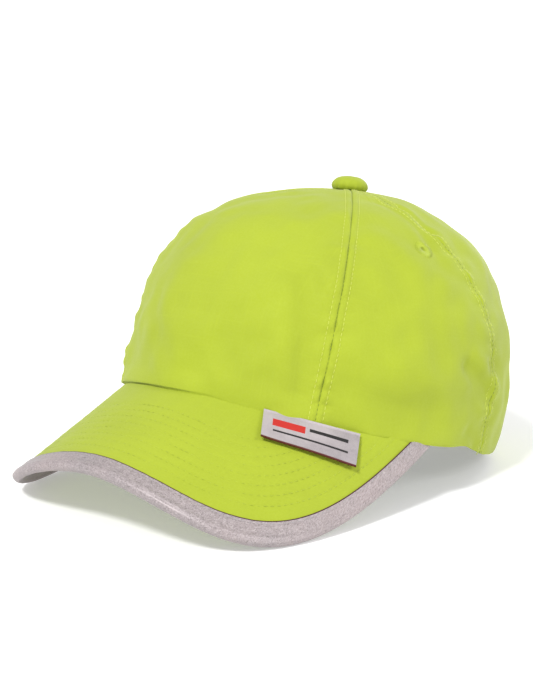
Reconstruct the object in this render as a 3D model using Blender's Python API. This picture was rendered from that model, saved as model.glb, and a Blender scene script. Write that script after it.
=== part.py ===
"""A high-visibility bump cap as it rests on a table.

Outside it is a soft five-panel crown with a curved, reflective-edged brim. Inside it holds a
removable impact shell lined with foam pads. Metres, +Z up, the brim towards -Y, the wearer's left
side towards +X. The origin is under the middle of the whole cap, on the table.

The crown is described in the headband's own frame, which leans back on the table because the bent
brim props the front up. An angle round the crown is 0 at the front, 90 degrees at the wearer's left
and 180 at the rear. A climb is a height as a share of the crown's height, from 0 to 1.
"""

import math

import bmesh
import bpy
import numpy as np
from mathutils import Matrix, Vector

MM = 0.001

# Crown, as an oval dome in the headband's frame
HALF_WIDTH = 86.0 * MM
FRONT_REACH = 101.1 * MM
REAR_REACH = 95.7 * MM
CROWN_HEIGHT = 116.3 * MM
APEX_SETBACK = 6.0 * MM  # the top button sits this far behind the headband's middle
FRONT_PROFILE = {"rise": 3.73, "pull": 2.24, "tuck": 0.005}
REAR_PROFILE = {"rise": 2.48, "pull": 2.48, "tuck": 0.066}
TUCK_HEIGHT = 45.5 * MM  # below this the wall draws in towards the headband
LEAN = math.radians(8.82)
REAR_DROP = 1.06 * MM
TO_ORIGIN = 24.14 * MM  # from the headband's middle forward to the middle of the whole cap

# Hem, the crown's lower edge: it follows the brim in front and lies on the table behind
HEM_RISES_FROM, HEM_RISES_TO = math.radians(58.0), math.radians(70.0)  # to the brim's top
HEM_LEAVES_BRIM = math.radians(70.9)
HEM_REACHES_BASE = math.radians(105.9)
SETTLE = 2.2 * MM
SETTLE_FROM = math.radians(122)
SETTLE_TO = math.radians(150)

# Brim, drawn as a flat pattern and then bent round a fore-and-aft axis
BRIM_CREST = 46.58 * MM  # height of its middle layer where it meets the front of the crown
BRIM_SLOPE = math.radians(23.9)
BRIM_ROOT = 19.2 * MM  # the pattern's widest line, ahead of the headband's middle
BRIM_REACH = 129.3 * MM
BRIM_HALF_WIDTH = 105.1 * MM
BRIM_ROUNDNESS = 2.9
BEND_RADIUS = 89.3 * MM
BEND_FLARE = 0.071  # the bend opens out by this share towards the front edge
BEND_EVEN_AT = 0.6
BRIM_END = math.radians(70.7)  # angle round the crown where the brim's tips end
BOARD_END = math.radians(69)

# Layers, each given by its depth below the crown's outer face
PANEL = (0.0, 0.8 * MM)
SEAM_TAPE = (1.2 * MM, 1.8 * MM)
STRAP = (1.2 * MM, 2.0 * MM)
HOOK_TAPE = (2.3 * MM, 2.9 * MM)
LOOP_TAPE = (3.2 * MM, 3.8 * MM)
LOOP_STRAP = (4.1 * MM, 4.9 * MM)
SWEATBAND = (2.8 * MM, 4.4 * MM)
CARE_LABEL = (4.8 * MM, 5.2 * MM)
SEAM_GAP = 0.4 * MM
GAP = 0.3 * MM
CURVE_WEIGHT = 40.0 * MM  # rows of a dome's mesh crowd where it turns, by this length per radian

# Brim layers
BOARD = 1.4 * MM
COVER = 0.5 * MM
BRIM_THICKNESS = BOARD + 2 * COVER + 2 * GAP
BINDING = 0.5 * MM
BINDING_WIDTH = 10.0 * MM
BOARD_MARGIN = 1.6 * MM
WALL_GAP = 0.4 * MM

# Panels and their seams
FRONT_SEAM = math.radians(43.9)
FRONT_SEAM_SWEEP = math.radians(4.75)
FRONT_SEAM_BOW = math.radians(-3.1)
SIDE_SEAM = math.radians(100.5)
TAPE_HALF_WIDTH = 5.0 * MM
TOP_HOLE = 4.0 * MM
TAPE_TOP_HOLE = 12.0 * MM

# Rear opening and its strap
ARCH_HALF_WIDTH = 33.0 * MM
ARCH_HEIGHT = 56.0 * MM
ARCH_ROUNDNESS = 2.4
ARCH_BINDING_WIDTH = 5.0 * MM
ARCH_BINDING_GAP = 0.6 * MM
STRAP_LOW = 2.0 * MM
STRAP_HIGH = 24.0 * MM
STRAP_CENTRE = 17.7 * MM  # behind the headband's middle: the axis that the strap slides round
TUNNEL_END = math.radians(34)
STRAP_HINGE = math.radians(12)
STRAP_TIP = math.radians(12)
TAPE_END = math.radians(18)
HOOK_END = math.radians(10)
JOG_FROM = math.radians(20.5)
JOG_TO = math.radians(26)
TUNNEL_CLEARANCE = 0.3 * MM  # the sliding strap sits this much deeper inside its tunnel
HINGE_GAP = 1.1 * MM

# Small parts
BUTTON_RADIUS = 8.6 * MM
BUTTON_HEIGHT = 6.8 * MM
EYELET_RADIUS = 4.6 * MM
EYELET_HOLE = 1.7 * MM
EYELET_CLIMB = 0.794
EYELET_ANGLES = {"side": math.radians(73.3), "rear": math.radians(140)}
SWEATBAND_HEIGHT = 32.0 * MM
SWEATBAND_END = math.radians(152.7)
LABEL_MIDDLE = math.radians(41.2)
LABEL_LENGTH = 44.0 * MM
LABEL_HEIGHT = 15.0 * MM
LABEL_THICKNESS = 0.6 * MM
LABEL_CLEARANCE = 0.5 * MM
LABEL_LIFT = 1.0 * MM  # the free edge stands this much further off the brim

# Impact shell and its foam pads
SHELL_HALF_WIDTH = 77.2 * MM
SHELL_FRONT = 94.2 * MM
SHELL_REAR = 83.4 * MM
SHELL_HEIGHT = 111.0 * MM
SHELL_SETBACK = 5.0 * MM
SHELL_RISE = 3.0
SHELL_PULL = 2.8
SHELL_WALL = (0.0, 2.0 * MM)
FOAM = (2.6 * MM, 6.6 * MM)
SHELL_EDGE_FRONT = 40.0 * MM
SHELL_EDGE_REAR = 60.0 * MM
VENT_LENGTH = 20.0 * MM
VENT_WIDTH = 5.0 * MM

HIGH_VIS = ("high_vis_fabric", (0.54, 0.68, 0.05), 0.75, 0.0)
REFLECTIVE = ("reflective_tape", (0.55, 0.50, 0.52), 0.45, 0.3)
COTTON = ("cotton", (0.50, 0.64, 0.06), 0.9, 0.0)
BOARD_PLASTIC = ("brim_board", (0.75, 0.75, 0.72), 0.6, 0.0)
SHELL_PLASTIC = ("shell_plastic", (0.02, 0.02, 0.022), 0.45, 0.0)
FOAM_BLACK = ("foam", (0.035, 0.035, 0.037), 0.95, 0.0)
HOOK_AND_LOOP = ("hook_and_loop", (0.45, 0.58, 0.08), 0.95, 0.0)
METAL = ("steel", (0.55, 0.55, 0.57), 0.35, 1.0)
PRINTED_LABEL = ("printed_label", (0.62, 0.58, 0.62), 0.4, 0.2)
CARE_WHITE = ("care_label", (0.85, 0.85, 0.83), 0.7, 0.0)

REST = Matrix.Translation((0, TO_ORIGIN, REAR_REACH * math.sin(LEAN) - REAR_DROP)) @ Matrix.Rotation(
    -LEAN, 4, "X"
)
REST_TURN = np.array(REST.to_3x3())
REST_MOVE = np.array(REST.translation)
BRIM_FRONT_WALL = -FRONT_REACH * math.cos(LEAN)


def mix(low, high, share):
    """The value a share of the way from low to high."""
    return low + (high - low) * share


def smoothstep(value, low, high):
    """0 below low, 1 above high, and a smooth rise between."""
    share = np.clip((value - low) / (high - low), 0, 1)
    return share * share * (3 - 2 * share)


def to_rest(points):
    """Points of the headband's frame, moved to where the cap rests on the table."""
    return points @ REST_TURN.T + REST_MOVE


# ---------------------------------------------------------------- surfaces


def crown_face(angle, climb):
    """The crown's outer face."""
    angle, climb = np.broadcast_arrays(angle, climb)
    front = (1 + np.cos(angle)) / 2
    rise, pull, tuck = (mix(REAR_PROFILE[k], FRONT_PROFILE[k], front) for k in ("rise", "pull", "tuck"))
    radius = np.clip(1 - np.clip(climb, 0, 1) ** rise, 0, 1) ** (1 / pull)
    radius = radius * (1 - tuck * np.clip(1 - climb * CROWN_HEIGHT / TUCK_HEIGHT, 0, 3) ** 2)
    reach = np.where(np.cos(angle) > 0, FRONT_REACH, REAR_REACH)
    x = HALF_WIDTH * np.sin(angle) * radius
    y = -reach * np.cos(angle) * radius + APEX_SETBACK * climb
    return to_rest(np.stack([x, y, CROWN_HEIGHT * climb], axis=-1))


def climb_at_radius(angle, radius):
    """The climb at which the dome has narrowed to this radius round the button."""
    front = (1 + np.cos(angle)) / 2
    rise, pull = (mix(REAR_PROFILE[k], FRONT_PROFILE[k], front) for k in ("rise", "pull"))
    reach = np.where(np.cos(angle) > 0, FRONT_REACH, REAR_REACH)
    span = np.hypot(HALF_WIDTH * np.sin(angle), reach * np.cos(angle))
    return (1 - (radius / span) ** pull) ** (1 / rise)


def shell_face(angle, climb):
    """The impact shell's outer face."""
    angle, climb = np.broadcast_arrays(angle, climb)
    radius = np.clip(1 - np.clip(climb, 0, 1) ** SHELL_RISE, 0, 1) ** (1 / SHELL_PULL)
    reach = np.where(np.cos(angle) > 0, SHELL_FRONT, SHELL_REAR)
    x = SHELL_HALF_WIDTH * np.sin(angle) * radius
    y = -reach * np.cos(angle) * radius + SHELL_SETBACK * climb
    return to_rest(np.stack([x, y, SHELL_HEIGHT * climb], axis=-1))


def bend_radius(forward):
    """The brim's bend radius at a distance forward in its flat pattern."""
    return BEND_RADIUS * (1 + BEND_FLARE * (forward / BRIM_REACH - BEND_EVEN_AT))


def brim_face(forward, across):
    """The brim's middle layer, bent from its flat pattern."""
    forward, across = np.broadcast_arrays(forward, across)
    radius = bend_radius(forward)
    y = -BRIM_ROOT - forward
    z = BRIM_CREST + np.tan(BRIM_SLOPE) * (y - BRIM_FRONT_WALL) - radius * (1 - np.cos(across / radius))
    return np.stack([radius * np.sin(across / radius), y + TO_ORIGIN, z], axis=-1)


def pattern_of(points):
    """Where points on the brim lie in its flat pattern, as (forward, across)."""
    forward = -BRIM_ROOT - (points[..., 1] - TO_ORIGIN)
    radius = bend_radius(forward)
    return forward, radius * np.arcsin(np.clip(points[..., 0] / radius, -1, 1))


def face_normal(face, first, second):
    """The face's unit normal, which is outwards on the domes and upwards on the brim."""
    step = 1e-5
    along = face(first + step, second) - face(first - step, second)
    up = face(first, second + step) - face(first, second - step)
    normal = np.cross(along, up)
    return normal / np.linalg.norm(normal, axis=-1, keepdims=True)


def brim_normal(forward, across):
    return face_normal(brim_face, forward, across)


def offset(face, first, second, distance):
    """The face moved along its normal by one distance or by one for each point."""
    return face(first, second) + face_normal(face, first, second) * np.asarray(distance)[..., None]


def hem_climb(angle, brim_side=None):
    """The climb of the crown's lower edge. brim_side is -1 for the brim's underside and 1 for its top. If it
    isn't given, the edge lies at the underside in front and rises to the top before the brim's ends."""
    angle = np.asarray(angle, float)
    climb = np.zeros_like(angle)
    around = np.abs(angle)
    if brim_side is None:
        brim_side = mix(-1.0, 1.0, smoothstep(around, HEM_RISES_FROM, HEM_RISES_TO))
    base = crown_face(angle, climb)[..., 2] - SETTLE * smoothstep(around, SETTLE_FROM, SETTLE_TO)
    behind = smoothstep(around, HEM_LEAVES_BRIM, HEM_REACHES_BASE)
    for _ in range(8):
        wall = crown_face(angle, climb)
        foot = pattern_of(wall)
        brim_height = brim_face(*foot)[..., 2] + brim_side * BRIM_THICKNESS / 2 / brim_normal(*foot)[..., 2]
        height = mix(brim_height, np.maximum(base, 0), behind)
        climb = climb + (height - wall[..., 2]) / (CROWN_HEIGHT * math.cos(LEAN))
    return climb


# ---------------------------------------------------------------- meshes


def material_of(finish):
    """The material of a finish, made once."""
    name, colour, roughness, metallic = finish
    made = bpy.data.materials.get(name)
    if made is None:
        made = bpy.data.materials.new(name)
        made.use_nodes = True
        shader = made.node_tree.nodes["Principled BSDF"]
        shader.inputs["Base Color"].default_value = (*colour, 1)
        shader.inputs["Roughness"].default_value = roughness
        shader.inputs["Metallic"].default_value = metallic
        made.diffuse_color = (*colour, 1)
    return made


def add_piece(name, points, faces, finish, origin=None, sharp=40):
    """A named object from points and faces, facing out, with its origin where it turns or slides."""
    mesh = bpy.data.meshes.new(name)
    place = Vector(origin) if origin is not None else Vector()
    mesh.from_pydata([Vector(p) - place for p in points], [], faces)
    shape = bmesh.new()
    shape.from_mesh(mesh)
    bmesh.ops.remove_doubles(shape, verts=shape.verts, dist=1e-6)
    bmesh.ops.recalc_face_normals(shape, faces=shape.faces)
    shape.to_mesh(mesh)
    shape.free()
    mesh.shade_smooth()
    mesh.set_sharp_from_angle(angle=math.radians(sharp))
    mesh.materials.append(material_of(finish))
    piece = bpy.data.objects.new(name, mesh)
    piece.location = place
    bpy.context.scene.collection.objects.link(piece)
    return piece


def grid_faces(columns, rows, start, closed=False):
    """Quads of a grid whose points are numbered column by column."""
    last = columns if closed else columns - 1
    return [
        (
            start + c * rows + r,
            start + (c + 1) % columns * rows + r,
            start + (c + 1) % columns * rows + r + 1,
            start + c * rows + r + 1,
        )
        for c in range(last)
        for r in range(rows - 1)
    ]


def add_sheet(name, outer, inner, finish, closed=False, origin=None):
    """A thin solid between two grids of points, shaped (columns, rows, 3). closed joins it into a band."""
    columns, rows = outer.shape[:2]
    count = columns * rows
    faces = grid_faces(columns, rows, 0, closed)
    faces += [face[::-1] for face in grid_faces(columns, rows, count, closed)]
    rim = [c * rows for c in range(columns)]
    top = [c * rows + rows - 1 for c in range(columns)]
    loops = [rim + rim[:1], top + top[:1]] if closed else [
        rim + [rim[-1] + r for r in range(1, rows)] + top[::-1][1:] + list(range(rows - 2, -1, -1))
    ]
    for loop in loops:
        faces += [(a, a + count, b + count, b) for a, b in zip(loop, loop[1:])]
    points = np.concatenate([outer.reshape(-1, 3), inner.reshape(-1, 3)])
    return add_piece(name, points, faces, finish, origin)


def add_band(name, stations, finish):
    """A solid swept through closed outlines, shaped (stations, outline, 3), with flat ends."""
    count, around = stations.shape[:2]
    faces = [
        (s * around + k, s * around + (k + 1) % around, (s + 1) * around + (k + 1) % around, (s + 1) * around + k)
        for s in range(count - 1)
        for k in range(around)
    ]
    faces += [tuple(range(around)), tuple(range((count - 1) * around, count * around))]
    return add_piece(name, stations.reshape(-1, 3), faces, finish)


def add_turned(name, profile, place, finish, segments=24):
    """A solid of revolution about the place's Z axis from (radius, height) points."""
    shape = bmesh.new()
    ring = [shape.verts.new((radius, 0, height)) for radius, height in profile]
    edges = [shape.edges.new(pair) for pair in zip(ring, ring[1:])]
    if profile[0][0] > 0:
        edges.append(shape.edges.new((ring[-1], ring[0])))
    bmesh.ops.spin(
        shape, geom=ring + edges, axis=(0, 0, 1), cent=(0, 0, 0), angle=math.tau, steps=segments, use_merge=True
    )
    bmesh.ops.remove_doubles(shape, verts=shape.verts, dist=1e-6)
    bmesh.ops.recalc_face_normals(shape, faces=shape.faces)
    mesh = bpy.data.meshes.new(name)
    shape.to_mesh(mesh)
    shape.free()
    mesh.shade_smooth()
    mesh.set_sharp_from_angle(angle=math.radians(40))
    mesh.materials.append(material_of(finish))
    piece = bpy.data.objects.new(name, mesh)
    piece.matrix_world = place
    bpy.context.scene.collection.objects.link(piece)
    return piece


def cut(piece, cutter):
    """Cuts a hole with a hidden helper."""
    cutter.hide_render = True
    cutter.display_type = "WIRE"
    modifier = piece.modifiers.new("Cut_" + cutter.name, "BOOLEAN")
    modifier.operation = "DIFFERENCE"
    modifier.solver = "EXACT"
    modifier.object = cutter


# ---------------------------------------------------------------- crown


def front_seam(climb):
    """Angle of the left front seam, which leans a little as it climbs."""
    return FRONT_SEAM + FRONT_SEAM_SWEEP * (climb - 0.5) + FRONT_SEAM_BOW * (climb - 0.5) ** 2


def side_seam(climb):
    return SIDE_SEAM + 0 * climb


def rear_seam(climb):
    return math.pi + 0 * climb


def mirrored(seam):
    return lambda climb: -seam(climb)


def turn_for(width, angle, climb):
    """The angle round the crown that spans a width at each of these places."""
    step = 1e-4
    spread = np.linalg.norm(crown_face(angle + step, climb) - crown_face(angle, climb), axis=-1) / step
    return width / spread


def crown_grid(left, right, columns, rows, low=0.0, height=None, top_hole=TOP_HOLE):
    """Angles and climbs of a grid between two seams, from low above the hem to the top hole, or
    height further up. Rows crowd together where the dome turns."""
    share = np.linspace(0, 1, columns)[:, None]
    start = hem_climb(mix(left(0.1), right(0.1), share))
    end = climb_at_radius(mix(left(1.0), right(1.0), share), top_hole)
    climb = mix(start, end, 1 - (1 - np.linspace(0, 1, 240)) ** 3)
    steps = np.diff(crown_face(mix(left(climb), right(climb), share), climb), axis=1)
    lengths = np.linalg.norm(steps, axis=-1)
    heading = steps / lengths[..., None]
    turning = np.arccos(np.clip((heading[:, 1:] * heading[:, :-1]).sum(axis=-1), -1, 1))
    along = np.cumsum(np.pad(lengths, ((0, 0), (1, 0))), axis=1)
    measure = along + CURVE_WEIGHT * np.cumsum(np.pad(turning, ((0, 0), (1, 1))), axis=1)
    climbs = np.empty((columns, rows))
    for c in range(columns):
        top = along[c, -1] if height is None else low + height
        first, last = np.interp([low, top], along[c], measure[c])
        climbs[c] = np.interp(np.linspace(first, last, rows), measure[c], climb[c])
    return mix(left(climbs), right(climbs), share), climbs


def layer(face, angle, climb, depths):
    """The outer and inner grids of a layer between two depths below a dome's face."""
    return tuple(offset(face, angle, climb, -np.broadcast_to(depth, np.shape(angle))) for depth in depths)


def inset_seam(seam, side):
    """The seam moved by half the seam's gap, so that neighbouring panels don't touch."""
    return lambda climb: seam(climb) + side * turn_for(SEAM_GAP / 2, seam(climb), np.asarray(climb) * 0.9995)


def add_panel(name, low_seam, high_seam, columns, rows=14):
    """A panel between two seams, with its hem cut level across the fabric."""
    grid = crown_grid(inset_seam(low_seam, 1), inset_seam(high_seam, -1), columns, rows)
    outer, inner = layer(crown_face, *grid, PANEL)
    inner[:, 0, 2] = outer[:, 0, 2]
    return add_sheet(name, outer, inner, HIGH_VIS)


def surface_frame(angle, climb, depth=0.0):
    """A placement on the crown with Z along its outward normal."""
    centre = offset(crown_face, np.array(angle), np.array(climb), np.array(-depth))
    above = offset(crown_face, np.array(angle), np.array(climb), np.array(MM - depth))
    normal = Vector(above - centre)
    return Matrix.Translation(Vector(centre)) @ normal.to_track_quat("Z", "X").to_matrix().to_4x4()


def arch_outline(start, end, count):
    """(x, z) points on the rear opening's outline, start and end being angles from the table."""
    turn = np.linspace(start, end, count)
    power = 2 / ARCH_ROUNDNESS
    x = ARCH_HALF_WIDTH * np.sign(np.cos(turn)) * np.abs(np.cos(turn)) ** power
    return x, ARCH_HEIGHT * np.abs(np.sin(turn)) ** power


def rear_climb(x, z):
    """(angle, climb) of the crown's rear point at this x and height."""
    angle = math.pi - np.arcsin(np.clip(x / HALF_WIDTH, -1, 1))
    climb = z / CROWN_HEIGHT
    for _ in range(40):
        found = crown_face(angle, climb)
        angle = angle - (x - found[..., 0]) / HALF_WIDTH
        climb = climb + (z - found[..., 2]) / CROWN_HEIGHT
    return angle, climb


def add_arch_cutter():
    """A prism of the rear opening's outline that reaches below the table."""
    x, z = arch_outline(0, math.pi, 25)
    outline = [(x[0], -20 * MM), *zip(x, z), (x[-1], -20 * MM)]
    count = len(outline)
    near, far = TO_ORIGIN + 45 * MM, TO_ORIGIN + 130 * MM
    points = [(px, near, pz) for px, pz in outline] + [(px, far, pz) for px, pz in outline]
    faces = [tuple(range(count)), tuple(range(count, 2 * count))]
    faces += [(k, (k + 1) % count, (k + 1) % count + count, k + count) for k in range(count)]
    return add_piece("arch_cutter", points, faces, HIGH_VIS)


def add_crown():
    """Five panels, the tapes over their seams, four stitched eyelets and the top button."""
    panels = {
        "front_panel": add_panel("front_panel", mirrored(front_seam), front_seam, 15),
        "side_panel_left": add_panel("side_panel_left", front_seam, side_seam, 11),
        "side_panel_right": add_panel("side_panel_right", mirrored(side_seam), mirrored(front_seam), 11),
        "rear_panel_left": add_panel("rear_panel_left", side_seam, rear_seam, 14),
        "rear_panel_right": add_panel("rear_panel_right", mirrored(rear_seam), mirrored(side_seam), 14),
    }
    arch_cutter = add_arch_cutter()
    cut(panels["rear_panel_left"], arch_cutter)
    cut(panels["rear_panel_right"], arch_cutter)

    for side, sign in (("left", 1), ("right", -1)):
        for seam_name, seam in (("front", front_seam), ("side", side_seam)):
            add_seam_tape(f"{seam_name}_seam_tape_{side}", seam, sign, low=SWEATBAND_HEIGHT * 0.3)
        for panel, angle in EYELET_ANGLES.items():
            add_eyelet(panels[f"{panel}_panel_{side}"], f"{panel}_eyelet_{side}", sign * angle)
    add_seam_tape("rear_seam_tape", rear_seam, 1, low=ARCH_HEIGHT + 11 * MM)
    add_button()
    add_arch_binding()


def add_seam_tape(name, seam, sign, low):
    """A tape that covers a seam on the inside, from low above the hem to the button's rivet."""
    columns, rows = 3, 12
    _, climb = crown_grid(seam, seam, 1, rows, low=low, top_hole=TAPE_TOP_HOLE)
    climb = np.repeat(climb, columns, axis=0)
    side = np.linspace(-1, 1, columns)[:, None]
    angle = sign * (seam(climb) + side * turn_for(TAPE_HALF_WIDTH, seam(climb), climb))
    add_sheet(name, *layer(crown_face, angle, climb, SEAM_TAPE), HIGH_VIS)


def add_eyelet(panel, name, angle):
    """A stitched ring in a round hole through a panel."""
    place = surface_frame(angle, EYELET_CLIMB)
    rise, fall = 0.5 * MM, PANEL[1] + 0.4 * MM
    middle = (EYELET_HOLE + EYELET_RADIUS) / 2
    profile = [
        (EYELET_HOLE, -fall + 0.3 * MM),
        (EYELET_HOLE + 0.4 * MM, -fall),
        (EYELET_RADIUS - 0.3 * MM, -fall),
        (EYELET_RADIUS, 0.0),
        (EYELET_RADIUS - 0.6 * MM, rise * 0.7),
        (middle, rise),
        (EYELET_HOLE + 0.3 * MM, rise * 0.4),
    ]
    add_turned(name, profile, place, HIGH_VIS, segments=16)
    hole = EYELET_RADIUS + GAP
    cutter = add_turned(
        name + "_cutter", [(0, -4 * MM), (hole, -4 * MM), (hole, 4 * MM), (0, 4 * MM)], place, HIGH_VIS, segments=16
    )
    cut(panel, cutter)


def add_button():
    """A covered button outside and the rivet that holds it inside."""
    place = REST @ Matrix.Translation((0, APEX_SETBACK, CROWN_HEIGHT + 0.35 * MM))
    socket, depth = 1.9 * MM, 3.4 * MM
    waist = 1.6 * MM
    dome = [
        (BUTTON_RADIUS * math.cos(turn), waist + (BUTTON_HEIGHT - waist) * math.sin(turn))
        for turn in np.linspace(0, math.pi / 2, 7)[:-1]
    ]
    profile = [(0, depth), (socket, depth), (socket, 0), (BUTTON_RADIUS - 1.4 * MM, 0), *dome, (0, BUTTON_HEIGHT)]
    add_turned("top_button", profile, place, HIGH_VIS, segments=24)
    shank, disc = 1.5 * MM, 6.0 * MM
    profile = [(0, -2.7 * MM), (disc, -2.7 * MM), (disc, -1.7 * MM), (shank, -1.7 * MM), (shank, 3 * MM), (0, 3 * MM)]
    add_turned("button_rivet", profile, place, METAL, segments=20)


def channel_outline(half, gap, tape, reach, nose_turns=5):
    """(inward, up) points of a tape folded round an edge that is 2 * half thick, as one closed outline."""
    inner, outer = half + gap, half + gap + tape
    turns = np.linspace(math.pi / 2, 3 * math.pi / 2, nose_turns)
    nose = [(outer * 0.6 * math.cos(turn), outer * math.sin(turn)) for turn in turns]
    return np.array([(reach, outer), *nose, (reach, -outer), (reach, -inner), (0, -inner), (0, inner), (reach, inner)])


def add_arch_binding():
    """A folded tape round the rear opening's edge, above the strap."""
    count = 23
    x, z = arch_outline(math.radians(28), math.radians(152), count)
    angle, climb = rear_climb(x, z)
    middle = sum(PANEL) / 2
    edge = offset(crown_face, angle, climb, np.full(count, -middle))
    up = offset(crown_face, angle, climb, np.full(count, MM - middle)) - edge
    up /= np.linalg.norm(up, axis=1, keepdims=True)
    along = np.gradient(edge, axis=0)
    inward = np.cross(up, along)
    inward /= np.linalg.norm(inward, axis=1, keepdims=True)
    outline = channel_outline(middle, ARCH_BINDING_GAP, BINDING, ARCH_BINDING_WIDTH)
    start = -GAP
    stations = edge[:, None] + inward[:, None] * (outline[None, :, :1] + start) + up[:, None] * outline[None, :, 1:]
    add_band("rear_opening_binding", stations, HIGH_VIS)


def add_sweatband():
    """The inner headband, open at the rear, with a care label on its rear left."""
    ends = (lambda climb: -SWEATBAND_END + 0 * climb, lambda climb: SWEATBAND_END + 0 * climb)
    grid = crown_grid(*ends, 61, 4, low=1.2 * MM, height=SWEATBAND_HEIGHT)
    add_sheet("sweatband", *layer(crown_face, *grid, SWEATBAND), COTTON)
    ends = (lambda climb: math.radians(122) + 0 * climb, lambda climb: math.radians(140) + 0 * climb)
    grid = crown_grid(*ends, 6, 3, low=6 * MM, height=18 * MM)
    add_sheet("care_label", *layer(crown_face, *grid, CARE_LABEL), CARE_WHITE)


# ---------------------------------------------------------------- rear strap


def strap_grid(start, end, columns, low=STRAP_LOW, high=STRAP_HIGH, rows=3):
    """Angles and climbs of a strap that runs level round the rear. start and end are angles from the
    rear, positive to the wearer's left."""
    behind = np.linspace(start, end, columns)[:, None]
    climb = np.linspace(low, high, rows)[None, :] / CROWN_HEIGHT
    return np.broadcast_arrays(math.pi - behind, climb)


def hinge_point(climb):
    """A point on the line that the strap's free end bends about."""
    return Vector(offset(crown_face, np.array(math.pi + STRAP_HINGE), np.array(climb), np.array(-sum(STRAP) / 2)))


def add_rear_strap():
    """The loop strap sewn on the left, and over it the hook strap that slides and peels open."""
    angle, climb = strap_grid(-TAPE_END, TUNNEL_END, 20)
    drop = 1 - smoothstep(math.pi - angle, JOG_FROM, JOG_TO)
    depths = [mix(near, deep, drop) for near, deep in zip(STRAP, LOOP_STRAP)]
    add_sheet("loop_strap", *layer(crown_face, angle, climb, depths), HIGH_VIS)
    margin = 2 * MM
    low, high = STRAP_LOW + margin, STRAP_HIGH - margin
    grid = strap_grid(-TAPE_END + 0.03, TAPE_END, 12, low, high)
    add_sheet("loop_tape", *layer(crown_face, *grid, LOOP_TAPE), HOOK_AND_LOOP)

    bend = HINGE_GAP / HALF_WIDTH
    slide_axis = REST @ Vector((0, STRAP_CENTRE, 0))
    angle, climb = strap_grid(-TUNNEL_END, -STRAP_HINGE - bend, 9)
    depths = [depth + TUNNEL_CLEARANCE * smoothstep(angle - math.pi, STRAP_HINGE, JOG_TO) for depth in STRAP]
    add_sheet("hook_strap_root", *layer(crown_face, angle, climb, depths), HIGH_VIS, origin=slide_axis)
    peel_axis = hinge_point(STRAP_LOW / CROWN_HEIGHT)
    grid = strap_grid(-STRAP_HINGE + bend, STRAP_TIP, 12)
    add_sheet("hook_strap_flap", *layer(crown_face, *grid, STRAP), HIGH_VIS, origin=peel_axis)
    grid = strap_grid(-HOOK_END, HOOK_END, 8, low, high)
    add_sheet("hook_tape", *layer(crown_face, *grid, HOOK_TAPE), HOOK_AND_LOOP, origin=peel_axis)


# ---------------------------------------------------------------- brim


def by_length(points, count):
    """Points spaced evenly along a curve."""
    steps = np.linalg.norm(np.diff(points, axis=0), axis=1)
    along = np.concatenate([[0], np.cumsum(steps)])
    wanted = np.linspace(0, along[-1], count)
    return np.stack([np.interp(wanted, along, points[:, k]) for k in range(points.shape[1])], axis=1)


def wall_curve(angle, height):
    """The crown's wall, with a gap, as (forward, across) in the layer at a height above the brim's middle."""
    wall = offset(crown_face, angle, hem_climb(angle, height / (BRIM_THICKNESS / 2)), np.full(angle.shape, WALL_GAP))
    return np.stack(pattern_of(wall - brim_normal(*pattern_of(wall)) * height), axis=1)


def brim_curves(count, end, height):
    """A brim layer's inner and outer edges in its flat pattern, from the wearer's right to the left."""
    inner = wall_curve(np.linspace(-end, end, 181), height)
    turn = np.linspace(-math.pi / 2, math.pi / 2, 721)
    power = 2 / BRIM_ROUNDNESS
    forward = BRIM_REACH * np.cos(turn) ** power
    across = BRIM_HALF_WIDTH * np.sign(turn) * np.abs(np.sin(turn)) ** power
    outer = np.stack([forward, across], axis=1)
    outer = outer[forward >= wall_curve(np.array([end]), 0.0)[0, 0] + 0.5 * MM]
    return by_length(inner, count), by_length(outer, count)


def add_brim_layer(name, low, high, margin, finish, columns=37, rows=5):
    """A layer of the brim between two heights above its middle, short of the outer edge by margin."""
    sides = []
    for height in (high, low):
        inner, outer = brim_curves(columns, BOARD_END, height)
        width = np.linalg.norm(outer - inner, axis=1, keepdims=True)
        flat = mix(inner[:, None], outer[:, None], np.linspace(0, 1, rows)[None, :, None] * (1 - margin / width)[:, None])
        sides.append(offset(brim_face, flat[..., 0], flat[..., 1], np.full(flat.shape[:2], height)))
    return add_sheet(name, *sides, finish)


def add_brim():
    """A stiff board between two fabric covers, with reflective tape folded over the outer edge."""
    half = BOARD / 2
    add_brim_layer("brim_board", -half, half, BOARD_MARGIN, BOARD_PLASTIC)
    add_brim_layer("brim_top_cover", half + GAP, half + GAP + COVER, BOARD_MARGIN, HIGH_VIS)
    add_brim_layer("brim_under_cover", -half - GAP - COVER, -half - GAP, BOARD_MARGIN, HIGH_VIS)
    inner, outer = brim_curves(49, BRIM_END, -BRIM_THICKNESS / 2)
    width = np.linalg.norm(outer - inner, axis=1, keepdims=True)
    inward = (inner - outer) / width
    outline = channel_outline(BRIM_THICKNESS / 2, GAP, BINDING, 1.0)
    nose = BINDING + GAP + 0.6 * MM
    leg = np.maximum(np.minimum(BINDING_WIDTH, width - 2 * GAP) - nose, 0.5 * MM)
    outward = outline[None, :, :1]
    reach = nose + np.where(outward > 0, leg[:, None] * outward, outward)
    flat = outer[:, None] + inward[:, None] * reach
    height = np.broadcast_to(outline[None, :, 1], flat.shape[:2])
    stations = offset(brim_face, flat[..., 0], flat[..., 1], height)
    add_band("brim_binding", stations, REFLECTIVE)


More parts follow.
